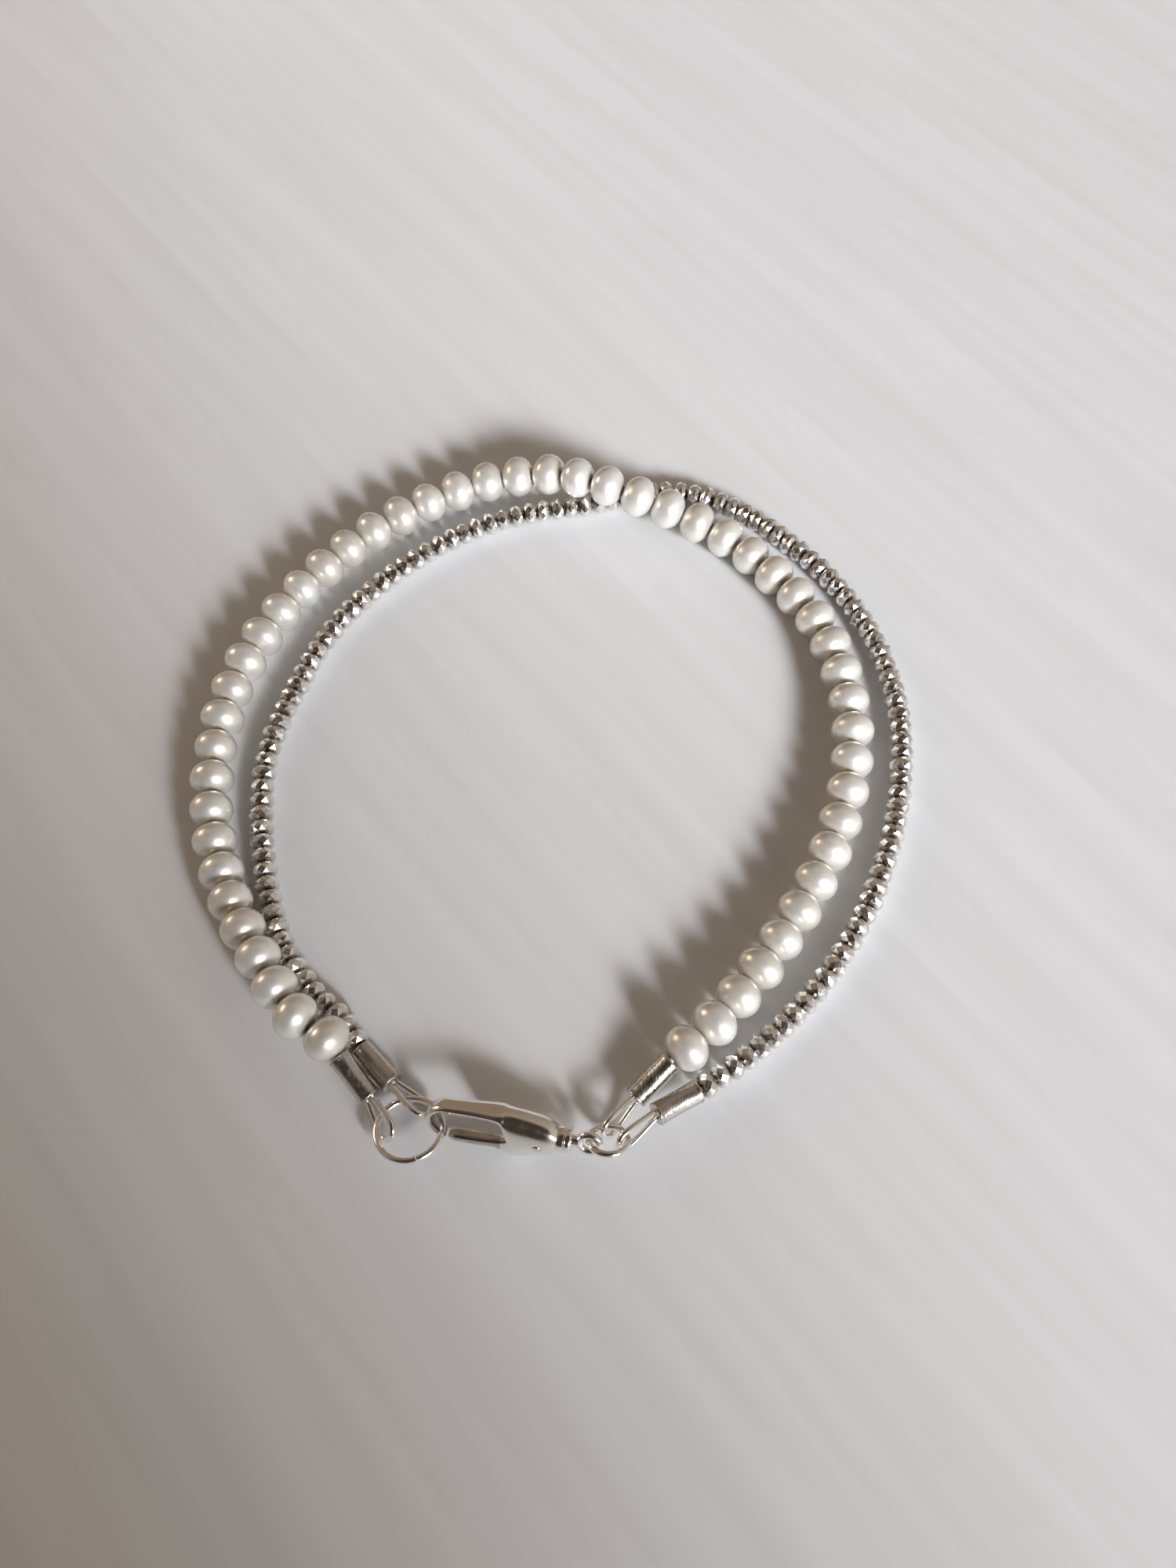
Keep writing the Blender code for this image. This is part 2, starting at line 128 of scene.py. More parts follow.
HOOK_RING_DIAMETER = 5.4 * MM
HOOK_RING_WIRE = 0.5 * MM
EYE_RING_DIAMETER = 3.3 * MM
EYE_RING_WIRE = 0.5 * MM
HOOK_RING_TURN = (192.0, -3.7, 11.5)
EYE_RING_TURN = (12.0, -8.0, -28.0)
HOOK_LINK_FROM_NOSE = Vector((0.36, -0.42, 0)) * MM


def placed(origin, heading, rise=0.0, roll=0.0):
    """A frame at origin whose X points along heading and rise, turned by roll about X."""
    turn = (
        Matrix.Rotation(math.radians(heading), 4, "Z")
        @ Matrix.Rotation(math.radians(-rise), 4, "Y")
        @ Matrix.Rotation(math.radians(roll), 4, "X")
    )
    return Matrix.Translation(origin) @ turn


COLLAR_START = EYE_HOLE / 2 + EYE_WIRE / 2 + NECK_LENGTH
CLAW_START = COLLAR_START + COLLAR_LENGTH
NOSE_AT = CLAW_START + CLAW_REACH
PIVOT_AT = Vector((CLAW_START + PIVOT_FROM_COLLAR, -PIVOT_DROP, 0))

clasp_frame = placed(CLASP_EYE_AT, CLASP_HEADING, CLASP_RISE, CLASP_ROLL)
print("clasp from eye to nose: %.2f mm" % (NOSE_AT / MM))

# %% [markdown]
# The layout above was drawn round its own middle, and the measured model then slid it so that it stands
# centred on the table. The pin that the clasp's lever turns on tells how far it slid: its box in the
# measured model has the pivot in its centre.

# %% Slide the layout onto the measured model
pin_low, pin_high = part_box("clasp_pin")
pin_centre = (Vector(pin_low) + Vector(pin_high)) / 2
slide = Matrix.Translation(pin_centre - clasp_frame @ PIVOT_AT)
clasp_frame = slide @ clasp_frame
print("layout slides by", [round(value / MM, 3) for value in slide.translation])


def ring_frame(link, turn, diameter, wire):
    """A frame at a ring's centre. The ring passes through link, on the frame's -X side."""
    towards = placed(link, *turn)
    return towards @ Matrix.Translation(((diameter - wire) / 2, 0, 0))


hook_link = clasp_frame @ (Vector((NOSE_AT, 0, 0)) + HOOK_LINK_FROM_NOSE)
eye_link = clasp_frame.translation
hook_frame = ring_frame(hook_link, HOOK_RING_TURN, HOOK_RING_DIAMETER, HOOK_RING_WIRE)
eye_frame = ring_frame(eye_link, EYE_RING_TURN, EYE_RING_DIAMETER, EYE_RING_WIRE)

# %% The four strand ends
GUARD_WIRE = 0.45 * MM
GUARD_INSIDE = 1.3 * MM
GUARD_LEG = 2.4 * MM
GUARD_TO_CRIMP = 0.3 * MM
CRIMP_DIAMETER = 1.8 * MM
CRIMP_LENGTH = 3.7 * MM
LINK_GAP = 0.15 * MM

STRAND_ENDS = {
    # strand and side: (place round the ring, slack in the guard in millimetres, guard's heading and
    # roll, crimp's heading and rise)
    "pearl_left": (-35.6, 0.85, 119.8, 33.5, 131.0, 20.0),
    "silver_left": (-99.6, 0.86, 140.0, -46.1, 134.4, 0.0),
    "pearl_right": (66.0, 0.0, 50.0, -18.0, 44.0, 12.0),
    "silver_right": (-8.0, 0.0, 41.0, -18.0, 31.0, -6.0),
}
guard_frames = {}
crimp_frames = {}
for end, (place, slack, guard_heading, guard_roll, *crimp_turn) in STRAND_ENDS.items():
    if end.endswith("left"):
        ring, reach = hook_frame, (HOOK_RING_DIAMETER - HOOK_RING_WIRE) / 2
    else:
        ring, reach = eye_frame, (EYE_RING_DIAMETER - EYE_RING_WIRE) / 2
    hung = ring @ Matrix.Rotation(math.radians(place), 4, "Z") @ Vector((reach, 0, 0))
    slid = Matrix.Translation((-slack * MM, 0, 0))
    guard_frames[end] = placed(hung, guard_heading, roll=guard_roll) @ slid
    mouth = guard_frames[end] @ Vector((GUARD_LEG + GUARD_TO_CRIMP, 0, 0))
    crimp_frames[end] = placed(mouth, *crimp_turn)
    print(end, "tube starts at", [round(value / MM, 1) for value in mouth])

# %% [markdown]
# ## The route of each strand
# A string of beads lies in a smooth curve through a few points. The pearls rise over the silver beads
# where the strands cross, and there the points carry their height. A Catmull-Rom curve passes through
# every point it is given, which is why it suits a route that was read off a table top.

# %% Routes of the strands
PEARL_ROUTE = (
    (-19.55, -22.95, 3.2),
    (-22.0, -21.3, 3.35),
    (-24.4, -17.7, 3.2),
    (-26.95, -13.4, 2.6),
    (-28.7, -9.5, 1.95),
    (-30.4, -3.4, 1.85),
    (-30.7, 3.6, 1.85),
    (-29.5, 10.3, 1.85),
    (-26.5, 16.7, 1.85),
    (-22.2, 22.5, 1.85),
    (-16.8, 27.2, 1.85),
    (-10.2, 30.7, 1.9),
    (-4.6, 30.9, 3.0),
    (-1.6, 29.9, 3.9),
    (1.2, 28.7, 4.25),
    (4.0, 27.7, 4.0),
    (9.0, 26.3, 2.5),
    (13.7, 23.3, 1.85),
    (18.4, 17.7, 1.85),
    (21.0, 12.3, 1.85),
    (22.0, 5.5, 1.85),
    (21.3, -0.8, 1.85),
    (19.2, -7.2, 1.85),
    (15.8, -13.4, 1.85),
    (11.9, -18.8, 1.95),
    (9.3, -21.9, 2.2),
)
SILVER_LIES_AT = 1.05
SILVER_TRACK = (
    (-18.05, -21.6),
    (-21.05, -18.75),
    (-23.6, -14.8),
    (-25.4, -9.5),
    (-26.5, -3.0),
    (-26.5, 2.6),
    (-24.9, 8.6),
    (-22.2, 15.0),
    (-17.6, 20.8),
    (-11.6, 25.4),
    (-6.0, 27.8),
    (-1.0, 28.8),
    (3.2, 29.8),
    (7.6, 30.5),
    (11.6, 29.5),
    (16.2, 26.5),
    (21.3, 20.9),
    (24.6, 14.6),
    (26.1, 8.0),
    (26.0, 2.0),
    (24.6, -5.0),
    (21.8, -12.0),
    (17.6, -18.4),
    (12.8, -23.2),
)
SILVER_ROUTE = [(x, y, SILVER_LIES_AT) for x, y in SILVER_TRACK]
print(len(PEARL_ROUTE), "points for the pearls,", len(SILVER_ROUTE), "for the silver beads")

# %% A smooth curve, measured by length
ROUTE_SAMPLES = 40


def smooth(knots, steps):
    """Points on a Catmull-Rom curve through the knots, with this many steps from each to the next."""
    padded = [2 * knots[0] - knots[1]] + list(knots) + [2 * knots[-1] - knots[-2]]
    points = []
    for before, start, end, after in zip(padded, padded[1:], padded[2:], padded[3:]):
        for step in range(steps):
            t = step / steps
            bend = (2 * before - 5 * start + 4 * end - after) * t**2
            twist = (3 * start - before - 3 * end + after) * t**3
            points.append(0.5 * (2 * start + (end - before) * t + bend + twist))
    return points + [knots[-1]]


def along(point, tangent):
    """A frame at point whose X follows tangent, with Y level."""
    forward = tangent.normalized()
    side = Vector((0, 0, 1)).cross(forward).normalized()
    up = forward.cross(side)
    turn = Matrix((forward, side, up)).transposed()
    return Matrix.Translation(point) @ turn.to_4x4()


class Route:
    """A smooth curve through knots, measured by length."""

    def __init__(self, knots):
        self.points = smooth(knots, ROUTE_SAMPLES)
        self.lengths = [0.0]
        for near, far in zip(self.points, self.points[1:]):
            self.lengths.append(self.lengths[-1] + (far - near).length)

    def frame_at(self, distance):
        index = 1
        while index < len(self.lengths) - 1 and self.lengths[index] < distance:
            index += 1
        near, far = self.lengths[index - 1], self.lengths[index]
        here = self.points[index - 1].lerp(self.points[index], (distance - near) / (far - near))
        behind = self.points[max(index - 3, 0)]
        ahead = self.points[min(index + 2, len(self.points) - 1)]
        return along(here, ahead - behind)


def strand_route(route, left, right):
    """The route between the two tubes, slid with the rest of the layout."""
    entry = Vector((CRIMP_LENGTH + LINK_GAP, 0, 0))
    knots = [crimp_frames[left] @ entry]
    knots += [slide @ (Vector(point) * MM) for point in route]
    knots.append(crimp_frames[right] @ entry)
    return Route(knots)


pearl_route = strand_route(PEARL_ROUTE, "pearl_left", "pearl_right")
silver_route = strand_route(SILVER_ROUTE, "silver_left", "silver_right")
print("pearls lie over %.1f mm of thread" % (pearl_route.lengths[-1] / MM))
print("silver beads lie over %.1f mm" % (silver_route.lengths[-1] / MM))

# %% [markdown]
# ## The camera
# The photograph was taken by hand from close above, leaning about thirty degrees from straight down. A
# phone's lens is a short one, so the near side of the loop looks larger than the far side. The picture
# is 1500 by 2000, and Blender counts the sensor along its long side.

# %% Camera
CAMERA_DISTANCE = 123.5 * MM
CAMERA_LEAN = math.radians(30)
SENSOR_WIDTH = 36
PHONE_LENS = 34.2
camera_data = bpy.data.cameras.new("camera")
camera_data.sensor_width = SENSOR_WIDTH
camera_data.lens = PHONE_LENS
camera_data.clip_start = 1 * MM
camera = bpy.data.objects.new("camera", camera_data)
bpy.context.scene.collection.objects.link(camera)
lean = Vector((0, -math.sin(CAMERA_LEAN), math.cos(CAMERA_LEAN)))
aim = Vector((slide.translation.x, slide.translation.y, 0))
camera.location = aim + lean * CAMERA_DISTANCE
camera.rotation_euler = (CAMERA_LEAN, 0, 0)
bpy.context.scene.camera = camera
print("camera stands %.0f mm above the table" % (camera.location.z / MM))

# %% [markdown]
# ## Table and light
# Polished silver and pearls show what is round them more than their own colour, so the light is half of
# the finish. One large window stands low on the near right: it blows out the beads' right sides and
# throws soft shadows to the far left. Its spread is narrow, so it lights one pool of the table and lets
# the corners fall off. A weaker pane by the window spreads wider and softens the pool's edge. A warm lamp
# on the far left gives each pearl its second small highlight.

# %% Table top


def node_setter(tree):
    """A short way to add a node with some of its settings and inputs."""

    def add(kind, inputs=None, **settings):
        made = tree.nodes.new(kind)
        for key, value in settings.items():
            setattr(made, key, value)
        for key, value in (inputs or {}).items():
            if isinstance(value, bpy.types.NodeSocket):
                tree.links.new(value, made.inputs[key])
            else:
                made.inputs[key].default_value = value
        return made

    return add


def blend(add, factor, first, second):
    """The colour between first and second. Each of them may be a colour or a socket."""
    return add("ShaderNodeMix", {"Factor": factor, 6: first, 7: second}, data_type="RGBA").outputs[2]


def new_material(name):
    """A material with its Principled shader, and the helper that adds nodes to it."""
    made = bpy.data.materials.new(name)
    made.use_nodes = True
    shader = made.node_tree.nodes["Principled BSDF"]
    return made, shader, node_setter(made.node_tree)


TABLE_SIZE = 1.6
TABLE_COLOUR = (0.715, 0.715, 0.715, 1)
TABLE_SHADE = (0.665, 0.662, 0.658, 1)
STREAK_HEADING = math.radians(38)
STREAK_STRETCH = 18
STREAK_SCALE = 360.0

table_finish, shader, add = new_material("pale_table")
links = table_finish.node_tree.links
place = add("ShaderNodeTexCoord").outputs["Object"]
across = {"Vector": place, "Rotation": (0, 0, STREAK_HEADING), "Scale": (1, STREAK_STRETCH, 1)}
# As a texture mapping it turns first and stretches then, so the streaks follow the heading
turned = add("ShaderNodeMapping", across, vector_type="TEXTURE").outputs[0]
streaks = add(
    "ShaderNodeTexNoise",
    {"Vector": turned, "Scale": STREAK_SCALE, "Detail": 2.0, "Roughness": 0.5},
).outputs[0]
softened = add("ShaderNodeMapRange", {"Value": streaks, "From Min": 0.35, "From Max": 0.7})
tone = blend(add, softened.outputs[0], TABLE_COLOUR, TABLE_SHADE)
links.new(tone, shader.inputs["Base Color"])
dents = add("ShaderNodeBump", {"Height": streaks, "Strength": 0.12, "Distance": 0.3 * MM})
links.new(dents.outputs[0], shader.inputs["Normal"])
shader.inputs["Roughness"].default_value = 0.55

bpy.ops.mesh.primitive_grid_add(x_subdivisions=4, y_subdivisions=4, size=TABLE_SIZE)
table = bpy.context.object
table.name = "table_top"
table.data.materials.append(table_finish)
table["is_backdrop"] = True
print("table top", table.dimensions[:2])

# %% Window, pane and lamp
LIGHTS = (
    # name, heading from the object, elevation, distance, width, spread, power, colour, where it aims
    ("window", -44.0, 25.0, 0.412, 0.245, 18.3, 0.325, (0.87, 0.90, 0.96), (0.092, 0.038)),
    ("pane", -42.0, 22.0, 0.41, 0.15, 34.0, 0.024, (0.92, 0.93, 0.96), (0.05, 0.035)),
    ("lamp", 155.0, 24.0, 0.40, 0.13, 180.0, 0.24, (1.0, 0.82, 0.66), (0, 0)),
)
for name, heading, elevation, distance, width, spread, power, colour, aimed_at in LIGHTS:
    light_data = bpy.data.lights.new(name, "AREA")
    light_data.shape = "SQUARE"
    light_data.size = width
    light_data.spread = math.radians(spread)
    light_data.energy = power
    light_data.color = colour
    light = bpy.data.objects.new(name, light_data)
    bpy.context.scene.collection.objects.link(light)
    flat = Vector((math.cos(math.radians(heading)), math.sin(math.radians(heading)), 0))
    away = flat * math.cos(math.radians(elevation)) + Vector((0, 0, math.sin(math.radians(elevation))))
    light.location = away * distance
    light.rotation_euler = (light.location - Vector((*aimed_at, 0))).to_track_quat("Z", "Y").to_euler()
    print(name, "at", [round(value, 2) for value in light.location])

# %% [markdown]
# The room goes by direction: a brown wall on the left, a paler one on the right, and between them a dark
# ceiling and a dark near corner. The metal mirrors these, which is why it looks dark between its glints.
# A picture of a real room could stand here instead, but then nothing would show what each part of it does.

# %% Room
LEFT_WALL = (0.24, 0.175, 0.12, 1)
RIGHT_WALL = (0.48, 0.445, 0.40, 1)
DARK_CORNER = (0.045, 0.034, 0.026, 1)
DARK_SIDES = (
    # where its middle lies, and the cosines from there at which it starts and is full
    (Vector((0, -0.28, 0.96)), 0.68, 0.92),
    (Vector((-0.38, -0.82, 0.42)), 0.72, 0.92),
)
WALLS_MEET_OVER = 0.9
world = bpy.data.worlds.new("room")
bpy.context.scene.world = world
world.use_nodes = True
links = world.node_tree.links
add = node_setter(world.node_tree)
direction = add("ShaderNodeTexCoord").outputs["Generated"]
split = add("ShaderNodeSeparateXYZ", {"Vector": direction})
sideways = add("ShaderNodeMath", {0: split.outputs["X"], 1: split.outputs["Y"]}, operation="SUBTRACT")
lit_side = add(
    "ShaderNodeMapRange",
    {"Value": sideways.outputs[0], "From Min": -WALLS_MEET_OVER, "From Max": WALLS_MEET_OVER},
)
room = blend(add, lit_side.outputs[0], LEFT_WALL, RIGHT_WALL)
for middle, starts, full in DARK_SIDES:
    toward = add("ShaderNodeVectorMath", {0: direction, 1: middle}, operation="DOT_PRODUCT")
    ramp = {"Value": toward.outputs["Value"], "From Min": starts, "From Max": full}
    room = blend(add, add("ShaderNodeMapRange", ramp).outputs[0], room, DARK_CORNER)
links.new(room, world.node_tree.nodes["Background"].inputs["Color"])
bpy.context.scene.view_settings.view_transform = "Standard"
print("room with", len(DARK_SIDES), "dark sides")

# %% [markdown]
# ## Shared surface effects
# Two things happen to nearly every surface here. Handling leaves fine hairlines and cloudy patches that
# change how sharply it reflects. And what collects in hollows, where no cloth reaches, turns silver brown
# and pearls dull. Each effect is a shader node group, made once and placed in the nacre and silver
# materials with its own values. A separate texture per material would also do, but then one change would
# mean many edits.

# %% Group: handling marks
HAIRLINES_FINER_BY = 14.0


def new_group(name, sockets):
    """An empty shader group with its named inputs and outputs."""
    group = bpy.data.node_groups.new(name, "ShaderNodeTree")
    for label, way, kind, start in sockets:
        socket = group.interface.new_socket(name=label, in_out=way, socket_type=kind)
        if start is not None:
            socket.default_value = start
    add = node_setter(group)
    return group, add, add("NodeGroupInput").outputs, add("NodeGroupOutput").inputs


handling, add, given, result = new_group(
    "handling_marks",
    (
        ("Smoothest", "INPUT", "NodeSocketFloat", 0.1),
        ("Dullest", "INPUT", "NodeSocketFloat", 0.3),
        ("Size", "INPUT", "NodeSocketFloat", 900.0),
        ("Roughness", "OUTPUT", "NodeSocketFloat", None),
        ("Height", "OUTPUT", "NodeSocketFloat", None),
    ),
)
place = add("ShaderNodeTexCoord").outputs["Object"]
clouds = add(
    "ShaderNodeTexNoise",
    {"Vector": place, "Scale": given["Size"], "Detail": 3.0, "Roughness": 0.55},
)
drawn_out = {"Vector": place, "Rotation": (0.4, 0.3, 0.7), "Scale": (1, 0.06, 0.3)}
stretched = add("ShaderNodeMapping", drawn_out)
finer = add("ShaderNodeMath", {0: given["Size"], 1: HAIRLINES_FINER_BY}, operation="MULTIPLY")
hairlines = add(
    "ShaderNodeTexNoise",
    {"Vector": stretched.outputs[0], "Scale": finer.outputs[0], "Detail": 1.0},
)
both = add("ShaderNodeMath", {0: clouds.outputs[0], 1: hairlines.outputs[0]}, operation="MULTIPLY")
spread = add(
    "ShaderNodeMapRange",
    {
        "Value": both.outputs[0],
        "From Min": 0.12,
        "From Max": 0.42,
        "To Min": given["Smoothest"],
        "To Max": given["Dullest"],
    },
)
handling.links.new(spread.outputs[0], result["Roughness"])
handling.links.new(hairlines.outputs[0], result["Height"])
print("group", handling.name, [item.name for item in handling.interface.items_tree])

# %% Group: tarnish and dirt in the hollows, and painted shade on the clasp
hollows, add, given, result = new_group(
    "in_the_hollows",
    (
        ("Clean", "INPUT", "NodeSocketColor", (0.9, 0.9, 0.9, 1)),
        ("Dark", "INPUT", "NodeSocketColor", (0.2, 0.15, 0.1, 1)),
        ("Amount", "INPUT", "NodeSocketFloat", 1.0),
        ("Colour", "OUTPUT", "NodeSocketColor", None),
    ),
)
# The hollow value is dirt and tarnish on the beads, tubes and pearls, and painted shade on the clasp's
# claw and lever
depth = add("ShaderNodeAttribute", attribute_name="hollow").outputs["Fac"]
place = add("ShaderNodeTexCoord").outputs["Object"]
patches = add("ShaderNodeTexNoise", {"Vector": place, "Scale": 1400.0, "Detail": 3.0, "Roughness": 0.6})
broken = add(
    "ShaderNodeMapRange",
    {"Value": patches.outputs[0], "From Min": 0.3, "From Max": 0.7, "To Min": 0.45},
)
ragged = add("ShaderNodeMath", {0: depth, 1: broken.outputs[0]}, operation="MULTIPLY").outputs[0]
scaled = add("ShaderNodeMath", {0: ragged, 1: given["Amount"]}, operation="MULTIPLY", use_clamp=True)
mixed = blend(add, scaled.outputs[0], given["Clean"], given["Dark"])
hollows.links.new(mixed, result["Colour"])
print("group", hollows.name, [item.name for item in hollows.interface.items_tree])

# %% [markdown]
# ## Nacre
# A pearl is layers of clear plates over a chalky body. Light that enters comes out softened, which is
# subsurface scattering, and light that bounces between the plates picks up a faint pink or green, which
# is a thin film. The plates also mirror the room softly from below the surface. A wholly chalky shader
# lacks that and looks like plaster, so this one is about half metallic, with a rough mirror. A coat on
# top gives the wet-looking highlight. Each pearl of a strand differs a little in tone, so the mesh
# carries one value per pearl, named tint.

# %% Material: nacre
NACRE_WARM = (0.74, 0.68, 0.60, 1)
NACRE_WHITE = (0.87, 0.85, 0.81, 1)
NACRE_HOLLOW = (0.33, 0.27, 0.20, 1)
NACRE_LAYERS = {
    "Metallic": 0.55,
    "IOR": 1.6,
    "Subsurface Weight": 0.4,
    "Subsurface Radius": (1.0, 0.85, 0.65),
    "Subsurface Scale": 0.7 * MM,
    "Coat Weight": 0.6,
    "Coat Roughness": 0.1,
    "Thin Film Thickness": 390.0,
    "Thin Film IOR": 1.45,
}

nacre, shader, add = new_material("nacre")
links = nacre.node_tree.links
tint = add("ShaderNodeAttribute", attribute_name="tint").outputs["Fac"]
place = add("ShaderNodeTexCoord").outputs["Object"]
cloudy = add("ShaderNodeTexNoise", {"Vector": place, "Scale": 420.0, "Detail": 2.0, "Roughness": 0.5})
shade = add("ShaderNodeMath", {0: tint, 1: cloudy.outputs[0], 2: 0.25}, operation="MULTIPLY_ADD")
body_tone = blend(add, shade.outputs[0], NACRE_WARM, NACRE_WHITE)
darkened = {"Clean": body_tone, "Dark": NACRE_HOLLOW, "Amount": 1.0}
holes = add("ShaderNodeGroup", darkened, node_tree=hollows)
links.new(holes.outputs["Colour"], shader.inputs["Base Color"])
handled = {"Smoothest": 0.28, "Dullest": 0.42, "Size": 700.0}
marks = add("ShaderNodeGroup", handled, node_tree=handling)
links.new(marks.outputs["Roughness"], shader.inputs["Roughness"])
growth = add("ShaderNodeTexNoise", {"Vector": place, "Scale": 900.0, "Detail": 2.0})
skin_bump = add("ShaderNodeBump", {"Height": growth.outputs[0], "Strength": 0.10, "Distance": 0.1 * MM})
links.new(skin_bump.outputs[0], shader.inputs["Normal"])
for label, value in NACRE_LAYERS.items():
    shader.inputs[label].default_value = value
print("material", nacre.name, "with", len(NACRE_LAYERS), "values of its own")

# %% [markdown]
# ## Silver
# Silver is the whitest metal, so its colour says little and its roughness says most. Polished fittings
# are nearly mirrors. The faceted beads are brighter on their facets and brown between them, where
# polishing never reaches. The tubes at the strands' ends are squeezed with pliers and stay duller.

# %% Materials: polished, faceted and squeezed silver
SILVER = (0.90, 0.88, 0.85, 1)
DULLED = (0.60, 0.56, 0.52, 1)
# Tarnish in the beads' and tubes' hollows, and painted shade on the clasp's claw and lever
TARNISH_AND_SHADE = (0.20, 0.155, 0.115, 1)
HAIRLINE_DEPTH = 0.02 * MM


def silver_finish(name, clean, amount, smoothest, dullest, dent):
    """One silver finish, from the two shared groups."""
    made, shader, add = new_material(name)
    links = made.node_tree.links
    darkened = {"Clean": clean, "Dark": TARNISH_AND_SHADE, "Amount": amount}
    darkened_colour = add("ShaderNodeGroup", darkened, node_tree=hollows)
    links.new(darkened_colour.outputs["Colour"], shader.inputs["Base Color"])
    handled = {"Smoothest": smoothest, "Dullest": dullest, "Size": 1100.0}
    marks = add("ShaderNodeGroup", handled, node_tree=handling)
    links.new(marks.outputs["Roughness"], shader.inputs["Roughness"])
    relief = {"Height": marks.outputs["Height"], "Strength": dent, "Distance": HAIRLINE_DEPTH}
    bump = add("ShaderNodeBump", relief)
    links.new(bump.outputs[0], shader.inputs["Normal"])
    shader.inputs["Metallic"].default_value = 1.0
    return made


# The polished finish darkens only where the clasp's claw and lever carry painted shade
polished = silver_finish("polished_silver", SILVER, amount=0.8, smoothest=0.07, dullest=0.22, dent=0.15)
faceted = silver_finish("faceted_silver", SILVER, amount=1.0, smoothest=0.12, dullest=0.30, dent=0.2)
squeezed = silver_finish("squeezed_silver", DULLED, amount=1.0, smoothest=0.14, dullest=0.34, dent=0.9)
print("silver finishes", polished.name, faceted.name, squeezed.name)

# %% [markdown]
# Between the beads a little of the thread shows. It is silk, twisted of several plies, and matt. A wave
# texture that runs aslant gives the plies in both colour and relief, which is enough at this size.

# %% Material: silk thread
SILK_LOW = (0.62, 0.58, 0.52, 1)
SILK_HIGH = (0.86, 0.84, 0.79, 1)

silk, shader, add = new_material("silk_thread")
links = silk.node_tree.links
place = add("ShaderNodeTexCoord").outputs["Object"]
twist = {"Vector": place, "Scale": 900.0, "Distortion": 4.0}
plies = add("ShaderNodeTexWave", twist, bands_direction="DIAGONAL").outputs["Fac"]
links.new(blend(add, plies, SILK_LOW, SILK_HIGH), shader.inputs["Base Color"])
ply_bump = add("ShaderNodeBump", {"Height": plies, "Strength": 0.4, "Distance": 0.05 * MM})
links.new(ply_bump.outputs[0], shader.inputs["Normal"])
shader.inputs["Roughness"].default_value = 0.7
print("material", silk.name)

# %% [markdown]
# ## One way to make every metal piece
# Wire, tubes and the clasp's claw are all a row of cross-sections with a skin over them. A section is an
# oval across a frame's X axis, and the skin joins each to the next. Blender's own primitives would be
# quicker for a plain ring, but sections also give the taper of the claw and the swell of a thumb tab.

# %% Sections


def section(frame, half_side, half_up, sides, fullness=1.0):
    """Points of an oval across the frame's X. Fullness under 1 squares the oval off."""
    points = []
    for step in range(sides):
        angle = math.tau * (step + 0.5) / sides
        y = math.copysign(abs(math.cos(angle)) ** fullness, math.cos(angle)) * half_side
        z = math.copysign(abs(math.sin(angle)) ** fullness, math.sin(angle)) * half_up
        points.append(frame @ Vector((0, y, z)))
    return points


print("a hexagonal section has", len(section(Matrix(), MM, MM, 6)), "points")

# %% Skins over sections


class Skin:
    """Gathers skins over rows of points, with the values each row carries, into one mesh."""

    def __init__(self):
        self.points = []
        self.faces = []
        self.looks = []
        self.values = {"tint": [], "hollow": []}

    def cover(self, rows, tint=0.5, hollow=None, look=0, loop=False):
        first = len(self.points)
        sides = len(rows[0])
        for index, row in enumerate(rows):
            self.points += row
            self.values["tint"] += [tint] * sides
            self.values["hollow"] += [hollow[index] if hollow else 0.0] * sides
        starts = [first + index * sides for index in range(len(rows))]
        pairs = list(zip(starts, starts[1:]))
        if loop:
            pairs.append((starts[-1], starts[0]))
        faces = []
        for near, far in pairs:
            for step in range(sides):
                after = (step + 1) % sides
                faces.append((near + step, near + after, far + after, far + step))
        if not loop:
            faces.append(tuple(reversed(range(starts[0], starts[0] + sides))))
            faces.append(tuple(range(starts[-1], starts[-1] + sides)))
        self.faces += faces
        self.looks += [look] * len(faces)

    def piece(self, name, finishes, sharp_over=None):
        """The object, smooth shaded, with edges sharper than sharp_over degrees kept crisp."""
        mesh = bpy.data.meshes.new(name)
        mesh.from_pydata([tuple(point) for point in self.points], [], self.faces)
        for finish in finishes:
            mesh.materials.append(finish)
        mesh.polygons.foreach_set("material_index", self.looks)
        for label, values in self.values.items():
            mesh.attributes.new(label, "FLOAT", "POINT").data.foreach_set("value", values)
        if sharp_over == 0:
            mesh.shade_flat()
        else:
            mesh.shade_smooth()
            mesh.set_sharp_from_angle(angle=math.radians(sharp_over or 180))
        mesh.validate()
        made = bpy.data.objects.new(name, mesh)
        bpy.context.scene.collection.objects.link(made)
        print(name, len(mesh.polygons), "faces")
        return made


def one_skin(name, rows, finish, sharp_over, **cover):
    """A piece that is a single skin over these rows."""
    skin = Skin()
    skin.cover(rows, **cover)
    return skin.piece(name, (finish,), sharp_over=sharp_over)


print("a skin carries", sorted(Skin().values), "at every point")

# %% [markdown]
# ## The pearls
# Button pearls are wider than they are long, since they are drilled through their short way. No two are
# alike: each is a little off round, larger or smaller, warmer or whiter. A ball from Blender's menu would
# be perfectly even, so each pearl is turned on its own, with a small wave added to its radius and a drill
# hole sunk at each end.

# %% One pearl
PEARL_SIDES = 28
PEARL_ROWS = 17
OFF_ROUND = (0.004, 0.018)
LOPSIDED = 0.03
BUTTON_SHAPE = 0.94
HOLE_RADIUS = 0.30 * MM
HOLE_DEPTH = 0.35 * MM
HOLE_NARROWS_TO = 0.9
HOLE_STAIN_FROM = 0.72


